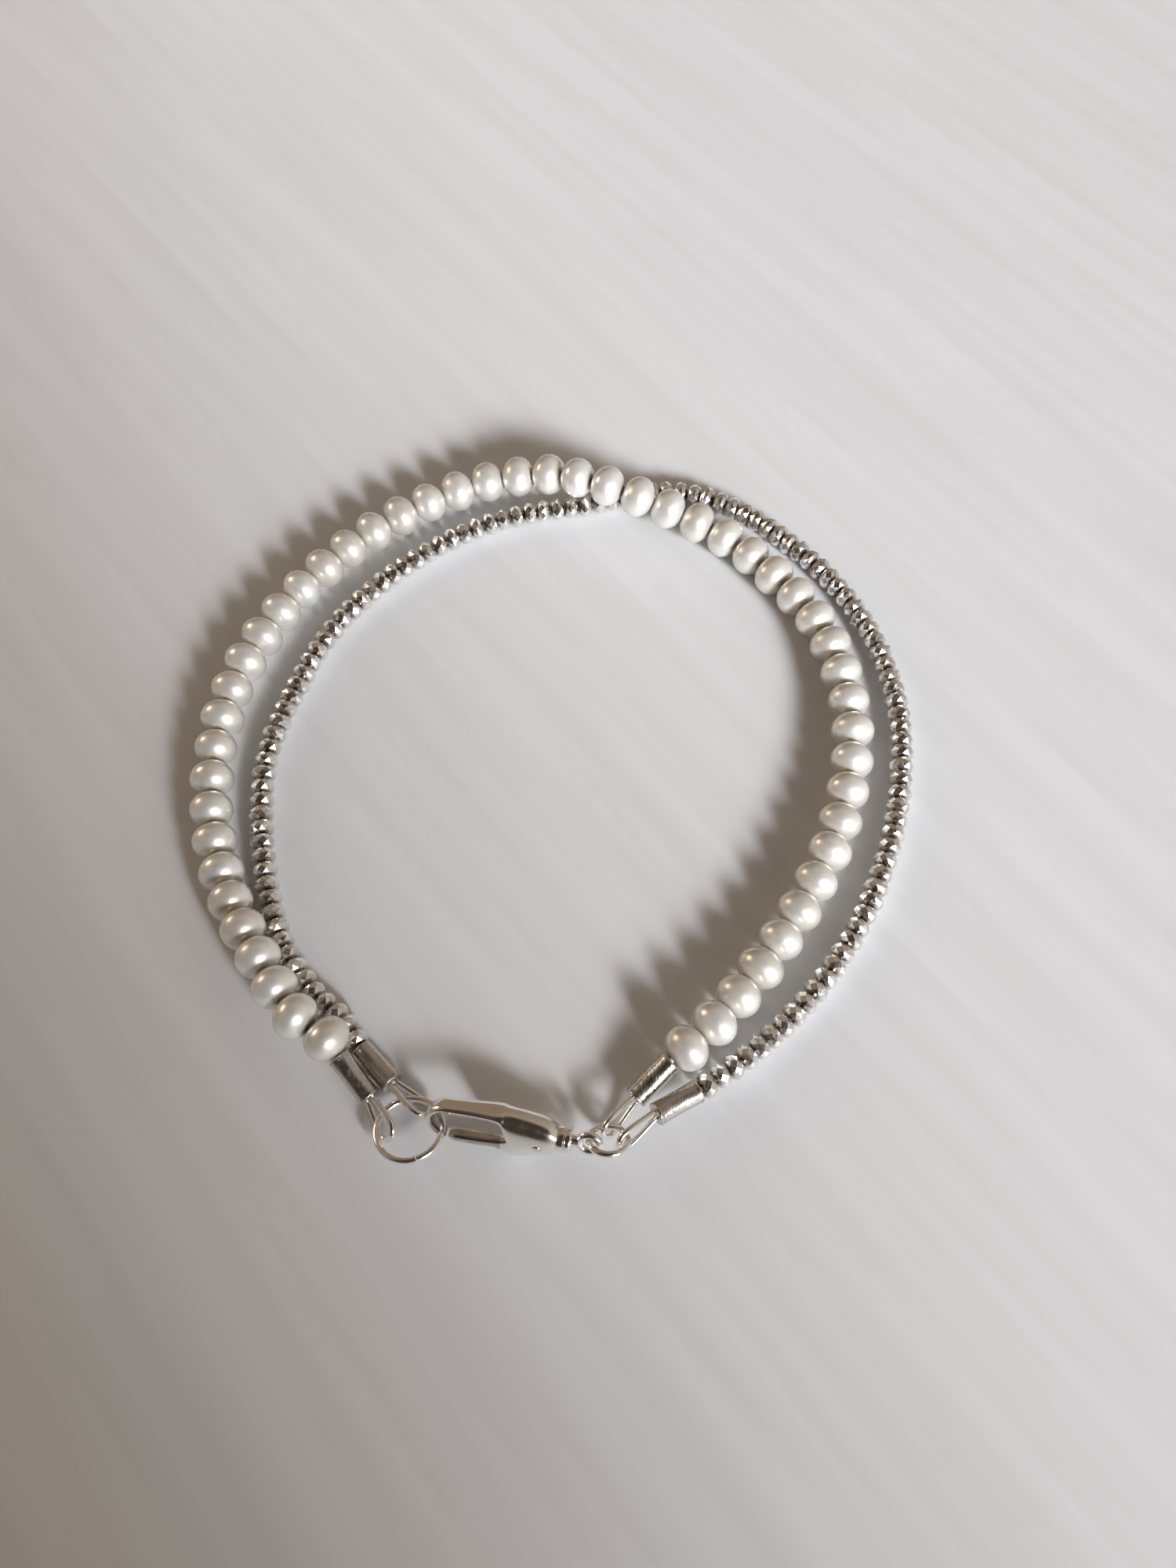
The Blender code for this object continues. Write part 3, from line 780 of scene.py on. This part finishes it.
def pearl_rows(middle, half_length, radius):
    """Rows of one pearl round the frame's X, from hole to hole, with how hollow each row lies."""
    phases = [rng.uniform(0, math.tau) for _ in range(3)]
    off_round = rng.uniform(*OFF_ROUND)
    lean = rng.uniform(-LOPSIDED, LOPSIDED)
    rows, depths = [], []

    def ring_at(x, size):
        points = []
        for step in range(PEARL_SIDES):
            turn = math.tau * step / PEARL_SIDES
            wave = 1 + off_round * (math.sin(2 * turn + phases[0]) + 0.6 * math.sin(3 * turn + phases[1]))
            swell = 1 + lean * x / half_length * math.cos(turn + phases[2])
            spot = Vector((x, math.cos(turn) * size * wave * swell, math.sin(turn) * size * wave * swell))
            points.append(middle @ spot)
        return points

    first = math.acos(HOLE_RADIUS / radius)
    rows.append(ring_at(-half_length + HOLE_DEPTH, HOLE_RADIUS * HOLE_NARROWS_TO))
    depths.append(1.0)
    for step in range(PEARL_ROWS):
        latitude = first * (2 * step / (PEARL_ROWS - 1) - 1)
        rows.append(ring_at(half_length * math.sin(latitude), radius * math.cos(latitude) ** BUTTON_SHAPE))
        near_hole = (abs(latitude) / first - HOLE_STAIN_FROM) / (1 - HOLE_STAIN_FROM)
        depths.append(max(0.0, near_hole) ** 2)
    rows.append(ring_at(half_length - HOLE_DEPTH, HOLE_RADIUS * HOLE_NARROWS_TO))
    depths.append(1.0)
    return rows, depths


print("a pearl has", (PEARL_ROWS + 2) * PEARL_SIDES, "points")

# %% Pearls on their thread
PEARL_COUNT = 51
PEARL_RADIUS = 1.86 * MM
SMALLEST_PEARL = 0.955
PEARLS_TOUCH = 1.01
THREAD_RADIUS = 0.24 * MM
THREAD = (THREAD_RADIUS, THREAD_RADIUS, 8)
THREAD_STEPS = 200

pearl_skin = Skin()
pearl_pitch = pearl_route.lengths[-1] / PEARL_COUNT
for number in range(PEARL_COUNT):
    middle = pearl_route.frame_at((number + 0.5) * pearl_pitch)
    size = PEARL_RADIUS * rng.uniform(SMALLEST_PEARL, 1.0)
    rows, depths = pearl_rows(middle, pearl_pitch / 2 * PEARLS_TOUCH, size)
    pearl_skin.cover(rows, tint=rng.random(), hollow=depths)


def thread_rows(route, left, right):
    """The thread from one tube's far mouth, through the beads, to the other tube's."""
    leaves = route.points[1] - route.points[0]
    arrives = route.points[-1] - route.points[-2]
    rows = [section(along(crimp_frames[left].translation, leaves), *THREAD)]
    for step in range(THREAD_STEPS + 1):
        rows.append(section(route.frame_at(route.lengths[-1] * step / THREAD_STEPS), *THREAD))
    rows.append(section(along(crimp_frames[right].translation, arrives), *THREAD))
    return rows


pearl_skin.cover(thread_rows(pearl_route, "pearl_left", "pearl_right"), look=1)
pearls = pearl_skin.piece("button_pearls", (nacre, silk), sharp_over=60)

# %% [markdown]
# ## The silver beads
# These are tiny cut beads: a short barrel with rows of three-cornered facets. They are never lined up, so
# each throws its glint another way, and that is what makes the strand sparkle. The rows of a bead are
# turned by half a step to each other, so that the skin breaks into facets, and every bead has a turn and
# size of its own. They are shaded flat, since a cut facet is flat.

# %% One silver bead
BEAD_SIDES = 9
BEAD_PROFILE = (
    # along as a share of half the pitch, radius as a share, half steps turned, hollow
    (-0.96, 0.42, 0, 1.0),
    (-0.72, 0.80, 0, 0.45),
    (-0.20, 1.00, 1, 0.0),
    (0.28, 0.99, 2, 0.0),
    (0.74, 0.78, 3, 0.45),
    (0.96, 0.42, 3, 1.0),
)


def facets(near, far, twisted, first):
    """Faces between two rows of a bead: triangles where one row is turned by a half step."""
    faces = []
    for step in range(BEAD_SIDES):
        after = (step + 1) % BEAD_SIDES
        a, b = first + near * BEAD_SIDES + step, first + near * BEAD_SIDES + after
        c, d = first + far * BEAD_SIDES + after, first + far * BEAD_SIDES + step
        if twisted:
            faces += [(a, b, d), (b, c, d)]
        else:
            faces.append((a, b, c, d))
    return faces


print("a silver bead has", len(BEAD_PROFILE) * BEAD_SIDES, "points")

# %% Silver beads on their thread
BEAD_COUNT = 116
BEAD_RADIUS = 1.075 * MM
SMALLEST_BEAD = 0.93
DEEPEST_CUT = 0.95
BEAD_TIPS_BY = 0.10

bead_skin = Skin()
bead_pitch = silver_route.lengths[-1] / BEAD_COUNT
for number in range(BEAD_COUNT):
    spin = Matrix.Rotation(rng.uniform(0, math.tau), 4, "X")
    nod = Matrix.Rotation(rng.uniform(-BEAD_TIPS_BY, BEAD_TIPS_BY), 4, "Y")
    tip = nod @ Matrix.Rotation(rng.uniform(-BEAD_TIPS_BY, BEAD_TIPS_BY), 4, "Z")
    middle = silver_route.frame_at((number + 0.5) * bead_pitch) @ tip @ spin
    size = BEAD_RADIUS * rng.uniform(SMALLEST_BEAD, 1.0)
    first = len(bead_skin.points)
    for along_share, radius_share, half_steps, hollow in BEAD_PROFILE:
        for step in range(BEAD_SIDES):
            angle = math.tau * (step + half_steps / 2) / BEAD_SIDES
            cut = radius_share * size * rng.uniform(DEEPEST_CUT, 1.0)
            spot = Vector((along_share * bead_pitch / 2, math.cos(angle) * cut, math.sin(angle) * cut))
            bead_skin.points.append(middle @ spot)
            bead_skin.values["tint"].append(0.5)
            bead_skin.values["hollow"].append(hollow)
    faces = [tuple(reversed(range(first, first + BEAD_SIDES)))]
    for row in range(len(BEAD_PROFILE) - 1):
        twisted = BEAD_PROFILE[row][2] != BEAD_PROFILE[row + 1][2]
        faces += facets(row, row + 1, twisted, first)
    last = first + (len(BEAD_PROFILE) - 1) * BEAD_SIDES
    faces.append(tuple(range(last, last + BEAD_SIDES)))
    bead_skin.faces += faces
    bead_skin.looks += [0] * len(faces)
bead_skin.cover(thread_rows(silver_route, "silver_left", "silver_right"), look=1)
silver_beads = bead_skin.piece("faceted_beads", (faceted, silk), sharp_over=0)

# %% [markdown]
# ## Jump rings
# A jump ring is a turn of round wire whose two ends are pushed together, so it has a hairline joint. A
# torus would close without it. The ring is skinned from one end of the wire to the other, and stops a
# hair short of itself.

# %% Jump rings
RING_STEPS = 72
RING_SIDES = 18
RING_JOINT = 0.05 * MM


def jump_ring(name, frame, diameter, wire, joint_at):
    """A ring of wire in the frame's XY plane, with its joint at this angle."""
    middle = (diameter - wire) / 2
    gap = RING_JOINT / middle
    rows = []
    for step in range(RING_STEPS + 1):
        turn = math.radians(joint_at) + gap / 2 + (math.tau - gap) * step / RING_STEPS
        spot = Matrix.Rotation(turn, 4, "Z") @ Matrix.Translation((middle, 0, 0))
        here = frame @ spot @ Matrix.Rotation(math.pi / 2, 4, "Z")
        rows.append(section(here, wire / 2, wire / 2, RING_SIDES))
    return one_skin(name, rows, polished, 50)


large_ring = jump_ring("large_jump_ring", hook_frame, HOOK_RING_DIAMETER, HOOK_RING_WIRE, 95)
small_ring = jump_ring("small_jump_ring", eye_frame, EYE_RING_DIAMETER, EYE_RING_WIRE, 120)

# %% [markdown]
# ## Wire guards
# A guard is a horseshoe of wire that keeps the thread from rubbing on the ring. Its legs close in and
# run into the tube. The bend is a half circle, and the legs leave it along a soft curve, which a chain
# of points with many sections gives.

# %% Wire guards
GUARD_SIDES = 14
GUARD_BEND_STEPS = 20
GUARD_LEG_STEPS = 8
GUARD_IN_TUBE = 0.55 * MM
GUARD_FOOT = 0.36 * MM


def ease(share):
    """The share, with a soft start and a soft end."""
    return share * share * (3 - 2 * share)


def wire_guard(name, frame):
    """A horseshoe of wire with its bend round the frame's origin."""
    bend = (GUARD_INSIDE + GUARD_WIRE) / 2
    reach = GUARD_LEG + GUARD_TO_CRIMP + GUARD_IN_TUBE
    leg = []
    for step in range(GUARD_LEG_STEPS):
        share = 1 - step / GUARD_LEG_STEPS
        leg.append(Vector((reach * share, 0, bend + (GUARD_FOOT - bend) * ease(share))))
    path = list(leg)
    for step in range(GUARD_BEND_STEPS + 1):
        angle = math.pi * step / GUARD_BEND_STEPS
        path.append(Vector((-bend * math.sin(angle), 0, bend * math.cos(angle))))
    path += [Vector((point.x, 0, -point.z)) for point in reversed(leg)]
    rows = []
    for index, point in enumerate(path):
        tangent = path[min(index + 1, len(path) - 1)] - path[max(index - 1, 0)]
        turn = Matrix.Rotation(-math.atan2(tangent.z, tangent.x), 4, "Y")
        here = frame @ Matrix.Translation(point) @ turn
        rows.append(section(here, GUARD_WIRE / 2, GUARD_WIRE / 2, GUARD_SIDES))
    return one_skin(name, rows, polished, 50)


guards = {end: wire_guard("guard_" + end, guard_frames[end]) for end in STRAND_ENDS}

# %% [markdown]
# ## Squeezed tubes
# A tube of thin silver holds the thread's end. Pliers press it flat a little in its middle, and its mouths
# keep their round lips. It is one skin: out along the outside, round the mouth, and back along the bore.

# %% Squeezed tubes
TUBE_SIDES = 40
TUBE_STEPS = 16
TUBE_BORE = 0.37 * MM
TUBE_LIP = 0.09 * MM
TUBE_WAIST = 0.965
SQUEEZE = 0.09


def squeezed_tube(name, frame):
    """A tube along the frame's X, pressed flatter between its two round lips."""
    radius = CRIMP_DIAMETER / 2
    profile = [
        # along, radius, hollow
        (TUBE_LIP * 0.2, TUBE_BORE, 1.0),
        (0.0, TUBE_BORE + TUBE_LIP, 0.4),
        (0.0, radius - TUBE_LIP, 0.0),
        (TUBE_LIP * 0.3, radius - TUBE_LIP * 0.3, 0.0),
        (TUBE_LIP, radius, 0.0),
    ]
    mouth = list(profile)
    for step in range(TUBE_STEPS + 1):
        share = step / TUBE_STEPS
        x = TUBE_LIP * 2 + (CRIMP_LENGTH - TUBE_LIP * 4) * share
        profile.append((x, radius * TUBE_WAIST, 0.35 if step in (0, TUBE_STEPS) else 0.0))
    profile += [(CRIMP_LENGTH - x, size, hollow) for x, size, hollow in reversed(mouth)]
    turn = Matrix.Rotation(rng.uniform(0, math.pi), 4, "X")
    rows = []
    for x, size, _ in profile:
        flat = SQUEEZE * math.sin(math.pi * min(max(x / CRIMP_LENGTH, 0), 1)) ** 2
        here = frame @ turn @ Matrix.Translation((x, 0, 0))
        rows.append(section(here, size, max(size * (1 - flat), TUBE_BORE), TUBE_SIDES))
    return one_skin(name, rows, squeezed, 50, hollow=[row[2] for row in profile], loop=True)


tubes = {end: squeezed_tube("tube_" + end, crimp_frames[end]) for end in STRAND_ENDS}

# %% [markdown]
# ## The lobster clasp
# The claw starts at a turned collar, swells to two cheeks that hold the lever's pin, and runs on as a
# slim back that curls into the nose. It is cast in one piece, so it is one solid here too: a skin through
# its sections, joined to the neck and eye, with a slot cut for the lever and a hole for the pin. Booleans
# do the joining and cutting, because that is what saw and drill do to the casting.

# %% The claw's sections
CLAW_SECTIONS = (
    # along, low, high, width
    (0.00, -0.50, 0.50, 0.75),
    (0.09, -0.80, 0.82, 0.95),
    (0.25, -0.94, 1.02, 1.00),
    (0.40, -0.92, 1.13, 1.00),
    (0.47, -0.20, 1.15, 0.95),
    (0.53, 0.60, 1.15, 0.86),
    (0.76, 0.62, 1.09, 0.70),
)
NOSE_WIDTH = (0.64, 0.44)
TIP_TAPER = 0.8
CLAW_SIDES = 36
CLAW_FULLNESS = 0.8
CLAW_STEPS = 5
NOSE_STEPS = 26


def smooth_table(table, steps):
    """The table's rows with smooth rows set between them."""
    return smooth([Vector(row) for row in table], steps)


half = HOOK_HEIGHT / 2
nose_start = (1.0, 1 - NOSE_THICKNESS / half, 1.0, NOSE_WIDTH[0])
claw_rows = []
for share, low, high, width in smooth_table(CLAW_SECTIONS + (nose_start,), CLAW_STEPS)[:-1]:
    here = Matrix.Translation((CLAW_START + share * CLAW_REACH, (low + high) / 2 * half, 0))
    sizes = ((high - low) / 2 * half, width * CLAW_WIDTH / 2)
    claw_rows.append(section(clasp_frame @ here, *sizes, CLAW_SIDES, CLAW_FULLNESS))
for step in range(NOSE_STEPS + 1):
    share = step / NOSE_STEPS
    around = Matrix.Rotation(-math.pi * share, 4, "Z")
    thickness = NOSE_THICKNESS * (1 + (TIP_TAPER - 1) * share)
    width = NOSE_WIDTH[0] + (NOSE_WIDTH[1] - NOSE_WIDTH[0]) * share
    outward = Matrix.Translation((0, half - NOSE_THICKNESS / 2, 0))
    here = clasp_frame @ Matrix.Translation((NOSE_AT, 0, 0)) @ around @ outward
    claw_rows.append(section(here, thickness / 2, width * CLAW_WIDTH / 2, CLAW_SIDES, CLAW_FULLNESS))
claw = one_skin("lobster_claw", claw_rows, polished, 40)

# %% Neck, collar and eye
COLLAR_SECTIONS = (
    # along, diameter
    (0.00, 0.86),
    (0.05, 0.96),
    (0.12, 1.00),
    (0.40, 1.00),
    (0.45, 0.95),
    (0.50, 0.86),
    (0.55, 0.95),
    (0.60, 1.00),
    (1.08, 1.00),
    (1.15, 0.97),
    (1.40, 0.60),
)
NECK_SIDES = 36
EYE_STEPS = 48
EYE_SIDES = 20
neck_profile = [((EYE_HOLE + EYE_WIRE) / 2, NECK_DIAMETER), (COLLAR_START, NECK_DIAMETER)]
for share, diameter in COLLAR_SECTIONS:
    neck_profile.append((COLLAR_START + share * COLLAR_LENGTH, diameter * COLLAR_DIAMETER))
neck_rows = [
    section(clasp_frame @ Matrix.Translation((at, 0, 0)), size / 2, size / 2, NECK_SIDES)
    for at, size in neck_profile
]
neck = one_skin("clasp_neck", neck_rows, polished, 40)

eye_rows = []
for step in range(EYE_STEPS):
    around = Matrix.Rotation(math.tau * (step + 0.5) / EYE_STEPS, 4, "Z")
    outward = Matrix.Translation(((EYE_HOLE + EYE_WIRE) / 2, 0, 0))
    here = clasp_frame @ around @ outward @ Matrix.Rotation(math.pi / 2, 4, "Z")
    eye_rows.append(section(here, EYE_WIRE / 2, EYE_WIRE / 2, EYE_SIDES))
eye = one_skin("clasp_eye", eye_rows, polished, 40, loop=True)

# %% [markdown]
# The slot is a plain box between the cheeks, and the pin's hole a plain drill. Both run past the metal
# they cut, since a cutter that ends level with a face leaves a torn edge.

# %% Saw, drill and solder
PIN_SIDES = 32
# A frame in the pin's middle whose X runs along the pin
pin_frame = clasp_frame @ Matrix.Translation(PIVOT_AT) @ Matrix.Rotation(-math.pi / 2, 4, "Y")


def box_cutter(name, low, high):
    """A box in the clasp's frame, from its low to its high corner."""
    shape = bmesh.new()
    bmesh.ops.create_cube(shape, size=1.0)
    mesh = bpy.data.meshes.new(name)
    shape.to_mesh(mesh)
    shape.free()
    placing = clasp_frame @ Matrix.Translation((low + high) / 2)
    mesh.transform(placing @ Matrix.Diagonal(high - low).to_4x4())
    made = bpy.data.objects.new(name, mesh)
    bpy.context.scene.collection.objects.link(made)
    return made


def drill(name, diameter, length):
    """A round bar along the pin's axis."""
    ends = (pin_frame @ Matrix.Translation((at, 0, 0)) for at in (-length / 2, length / 2))
    rows = [section(end, diameter / 2, diameter / 2, PIN_SIDES) for end in ends]
    return one_skin(name, rows, polished, 40)


def combine(piece, changes):
    """Applies these Booleans to the piece and removes the helpers."""
    for other, operation in changes:
        change = piece.modifiers.new(other.name, "BOOLEAN")
        change.operation = operation
        change.solver = "EXACT"
        change.object = other
    graph = bpy.context.evaluated_depsgraph_get()
    result = bpy.data.meshes.new_from_object(piece.evaluated_get(graph))
    piece.modifiers.clear()
    piece.data = result
    for other, _ in changes:
        bpy.data.objects.remove(other, do_unlink=True)
    print(piece.name, len(result.polygons), "faces after", len(changes), "changes")


# %% Join and cut the claw
LEVER_WIDTH = 0.84 * MM
LEVER_GAP = 0.08 * MM
LEVER_BEHIND_PIVOT = 0.75 * MM
SLOT_BEHIND_LEVER = 0.19 * MM
SLOT_OVER_LEVER = 0.24 * MM
SLOT_END = 0.6
PIN_CLEARANCE = 0.04 * MM

slot_half = LEVER_WIDTH / 2 + LEVER_GAP
slot_back = PIVOT_AT.x - LEVER_BEHIND_PIVOT - SLOT_BEHIND_LEVER
slot_top = PIVOT_AT.y + LEVER_BEHIND_PIVOT + SLOT_OVER_LEVER
slot_low = Vector((slot_back, -HOOK_HEIGHT, -slot_half))
slot_high = Vector((CLAW_START + SLOT_END * CLAW_REACH, slot_top, slot_half))
slot = box_cutter("lever_slot", slot_low, slot_high)
pin_hole = drill("pin_hole", PIN_DIAMETER + 2 * PIN_CLEARANCE, 2 * CLAW_WIDTH)
combine(claw, ((neck, "UNION"), (eye, "UNION"), (slot, "DIFFERENCE"), (pin_hole, "DIFFERENCE")))

# %% [markdown]
# Cast silver has no knife edges: tumbling rounds them. A small bevel on every sharp edge catches a thin
# line of light, which is much of what makes a small metal part look real.

# %% Round the edges
TUMBLED_OVER = math.radians(38)
WELD_WITHIN = 0.002 * MM


def tumble(piece, width):
    """Rounds the piece's sharp edges a little, as tumbling does."""
    weld = piece.modifiers.new("weld", "WELD")
    weld.merge_threshold = WELD_WITHIN
    bevel = piece.modifiers.new("tumbled", "BEVEL")
    bevel.width = width
    bevel.segments = 2
    bevel.limit_method = "ANGLE"
    bevel.angle_limit = TUMBLED_OVER
    graph = bpy.context.evaluated_depsgraph_get()
    result = bpy.data.meshes.new_from_object(piece.evaluated_get(graph))
    piece.modifiers.clear()
    piece.data = result
    result.shade_smooth()
    result.set_sharp_from_angle(angle=TUMBLED_OVER)
    print(piece.name, len(result.polygons), "faces after tumbling")


tumble(claw, 0.035 * MM)

# %% [markdown]
# ## The lever and its pin
# The lever is the clasp's gate. Behind the pin it is rounded to turn inside the cheeks, ahead of it the
# thumb tab swells out below the claw, and the slim arm runs on to meet the nose. It keeps its own place
# so that it can swing.

# %% The lever's sections
LEVER_TO_NOSE = 0.17 * MM
LEVER_FULLNESS = 0.6
LEVER_STEPS = 5
LEVER_BACK_SECTIONS = (
    # along, low, high, width
    (-1.00, -0.18, 0.18, 1.00),
    (-0.60, -0.40, 0.36, 1.00),
)
LEVER_SECTIONS = (
    # along, low, high, width
    (0.00, -0.78, 0.45, 1.00),
    (0.13, -1.05, 0.27, 1.00),
    (0.28, -1.12, 0.00, 1.00),
    (0.41, -0.94, -0.27, 1.00),
    (0.50, -0.78, -0.33, 1.08),
    (0.72, -0.79, -0.37, 1.18),
    (0.92, -0.76, -0.38, 1.18),
    (1.00, -0.66, -0.44, 0.90),
)
lever_reach = NOSE_AT - LEVER_TO_NOSE - PIVOT_AT.x
lever_table = [(share * LEVER_BEHIND_PIVOT, *rest) for share, *rest in LEVER_BACK_SECTIONS]
lever_table += [(share * lever_reach, *rest) for share, *rest in LEVER_SECTIONS]
lever_rows = []
for at, low, high, width in smooth_table(lever_table, LEVER_STEPS):
    here = clasp_frame @ Matrix.Translation(PIVOT_AT + Vector((at, (low + high) / 2 * half, 0)))
    sizes = ((high - low) / 2 * half, width * LEVER_WIDTH / 2)
    lever_rows.append(section(here, *sizes, CLAW_SIDES, LEVER_FULLNESS))
lever = one_skin("clasp_gate", lever_rows, polished, 40)

# %% Bore the lever and set its pin
LEVER_BORE_CLEARANCE = 0.06 * MM
PIN_DOME = 0.05 * MM
DOME_PROFILE = (
    # from the pin's end as a share of the dome, radius as a share
    (0.0, 0.55),
    (0.4, 0.85),
    (1.0, 1.0),
)
lever_bore = drill("lever_bore", PIN_DIAMETER + 2 * LEVER_BORE_CLEARANCE, 2 * CLAW_WIDTH)
combine(lever, ((lever_bore, "DIFFERENCE"),))
tumble(lever, 0.03 * MM)

pin_profile = [(-CLAW_WIDTH / 2 + PIN_DOME * inward, share) for inward, share in DOME_PROFILE]
pin_profile += [(-at, share) for at, share in reversed(pin_profile)]
pin_rows = []
for at, share in pin_profile:
    size = PIN_DIAMETER / 2 * share
    pin_rows.append(section(pin_frame @ Matrix.Translation((at, 0, 0)), size, size, PIN_SIDES))
gate_pin = one_skin("gate_pin", pin_rows, polished, 60)

# %% [markdown]
# The faces that look into the claw's mouth, the slot and the slim arm get painted shade: a darker
# colour that stands in for the shade and dark reflections they show. Their own place and facing in the
# clasp's frame say which they are.

# %% Paint shade on the inside
# Where the lever's arm starts, how much painted shade it gets, and how far a face must turn into the
# claw's mouth to get it
ARM_FROM = 0.42
ARM_SHADE = 0.85
FACES_INWARD = 0.35


def paint_shade(piece, wanted):
    """Writes painted shade as each point's hollow value, from its place and facing in the clasp's frame.
    """
    back = clasp_frame.inverted()
    turn = back.to_3x3()
    marks = piece.data.attributes.get("hollow") or piece.data.attributes.new("hollow", "FLOAT", "POINT")
    amounts = [wanted(back @ point.co, turn @ point.normal) for point in piece.data.vertices]
    marks.data.foreach_set("value", amounts)
    print(piece.name, "%.0f%% stained" % (100 * sum(amounts) / len(amounts)))


def inside_claw(at, facing):
    """Painted shade, full in the lever's slot and on what faces the claw's mouth, none elsewhere."""
    if at.x < slot_high.x:
        in_slot = at.x > slot_low.x - LEVER_GAP and at.y < slot_high.y + LEVER_GAP / 2
        return 1.0 if in_slot and abs(at.z) < slot_high.z + LEVER_GAP / 2 else 0.0
    inward = Vector((min(at.x, NOSE_AT) - at.x, -at.y, 0))
    return 1.0 if facing.dot(inward.normalized()) > FACES_INWARD else 0.0


def along_lever(at, facing):
    """Painted shade, nearly full on the slim arm ahead of the thumb tab, whichever way it faces."""
    return ARM_SHADE if at.x > PIVOT_AT.x + ARM_FROM * lever_reach else 0.0


# Paint shade on the claw's inside and on the lever's arm
paint_shade(claw, inside_claw)
paint_shade(lever, along_lever)

# %% [markdown]
# ## Hand each piece to the measured model
# Each piece stands for one measured solid, which it hides, and rides on the body it belongs to. The table
# also names each solid's slot, though nothing here reads it. Only the lever rides on a body of its own,
# since it alone swings.

# %% Bodies and replaced solids
HANDED = [
    # piece, body, slot, measured solid
    (pearls, "bracelet", "pearl", "pearl_strand"),
    (silver_beads, "bracelet", "silver", "silver_bead_strand"),
    (large_ring, "bracelet", "silver", "hook_ring"),
    (small_ring, "bracelet", "silver", "eye_ring"),
    (claw, "bracelet", "silver", "clasp_body"),
    (lever, "lever", "silver", "clasp_lever"),
    (gate_pin, "bracelet", "silver", "clasp_pin"),
]
for end in STRAND_ENDS:
    HANDED.append((guards[end], "bracelet", "silver", "wire_guard_" + end))
    HANDED.append((tubes[end], "bracelet", "silver", "crimp_tube_" + end))
for piece, body, slot_name, solid in HANDED:
    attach(piece, body)
    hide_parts(solid)
print(len(HANDED), "pieces handed over")

# %% The two boxes
sizes = {"cad": CAD_BOX, "visual": [list(corner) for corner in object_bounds()]}
print("boxes", sizes)
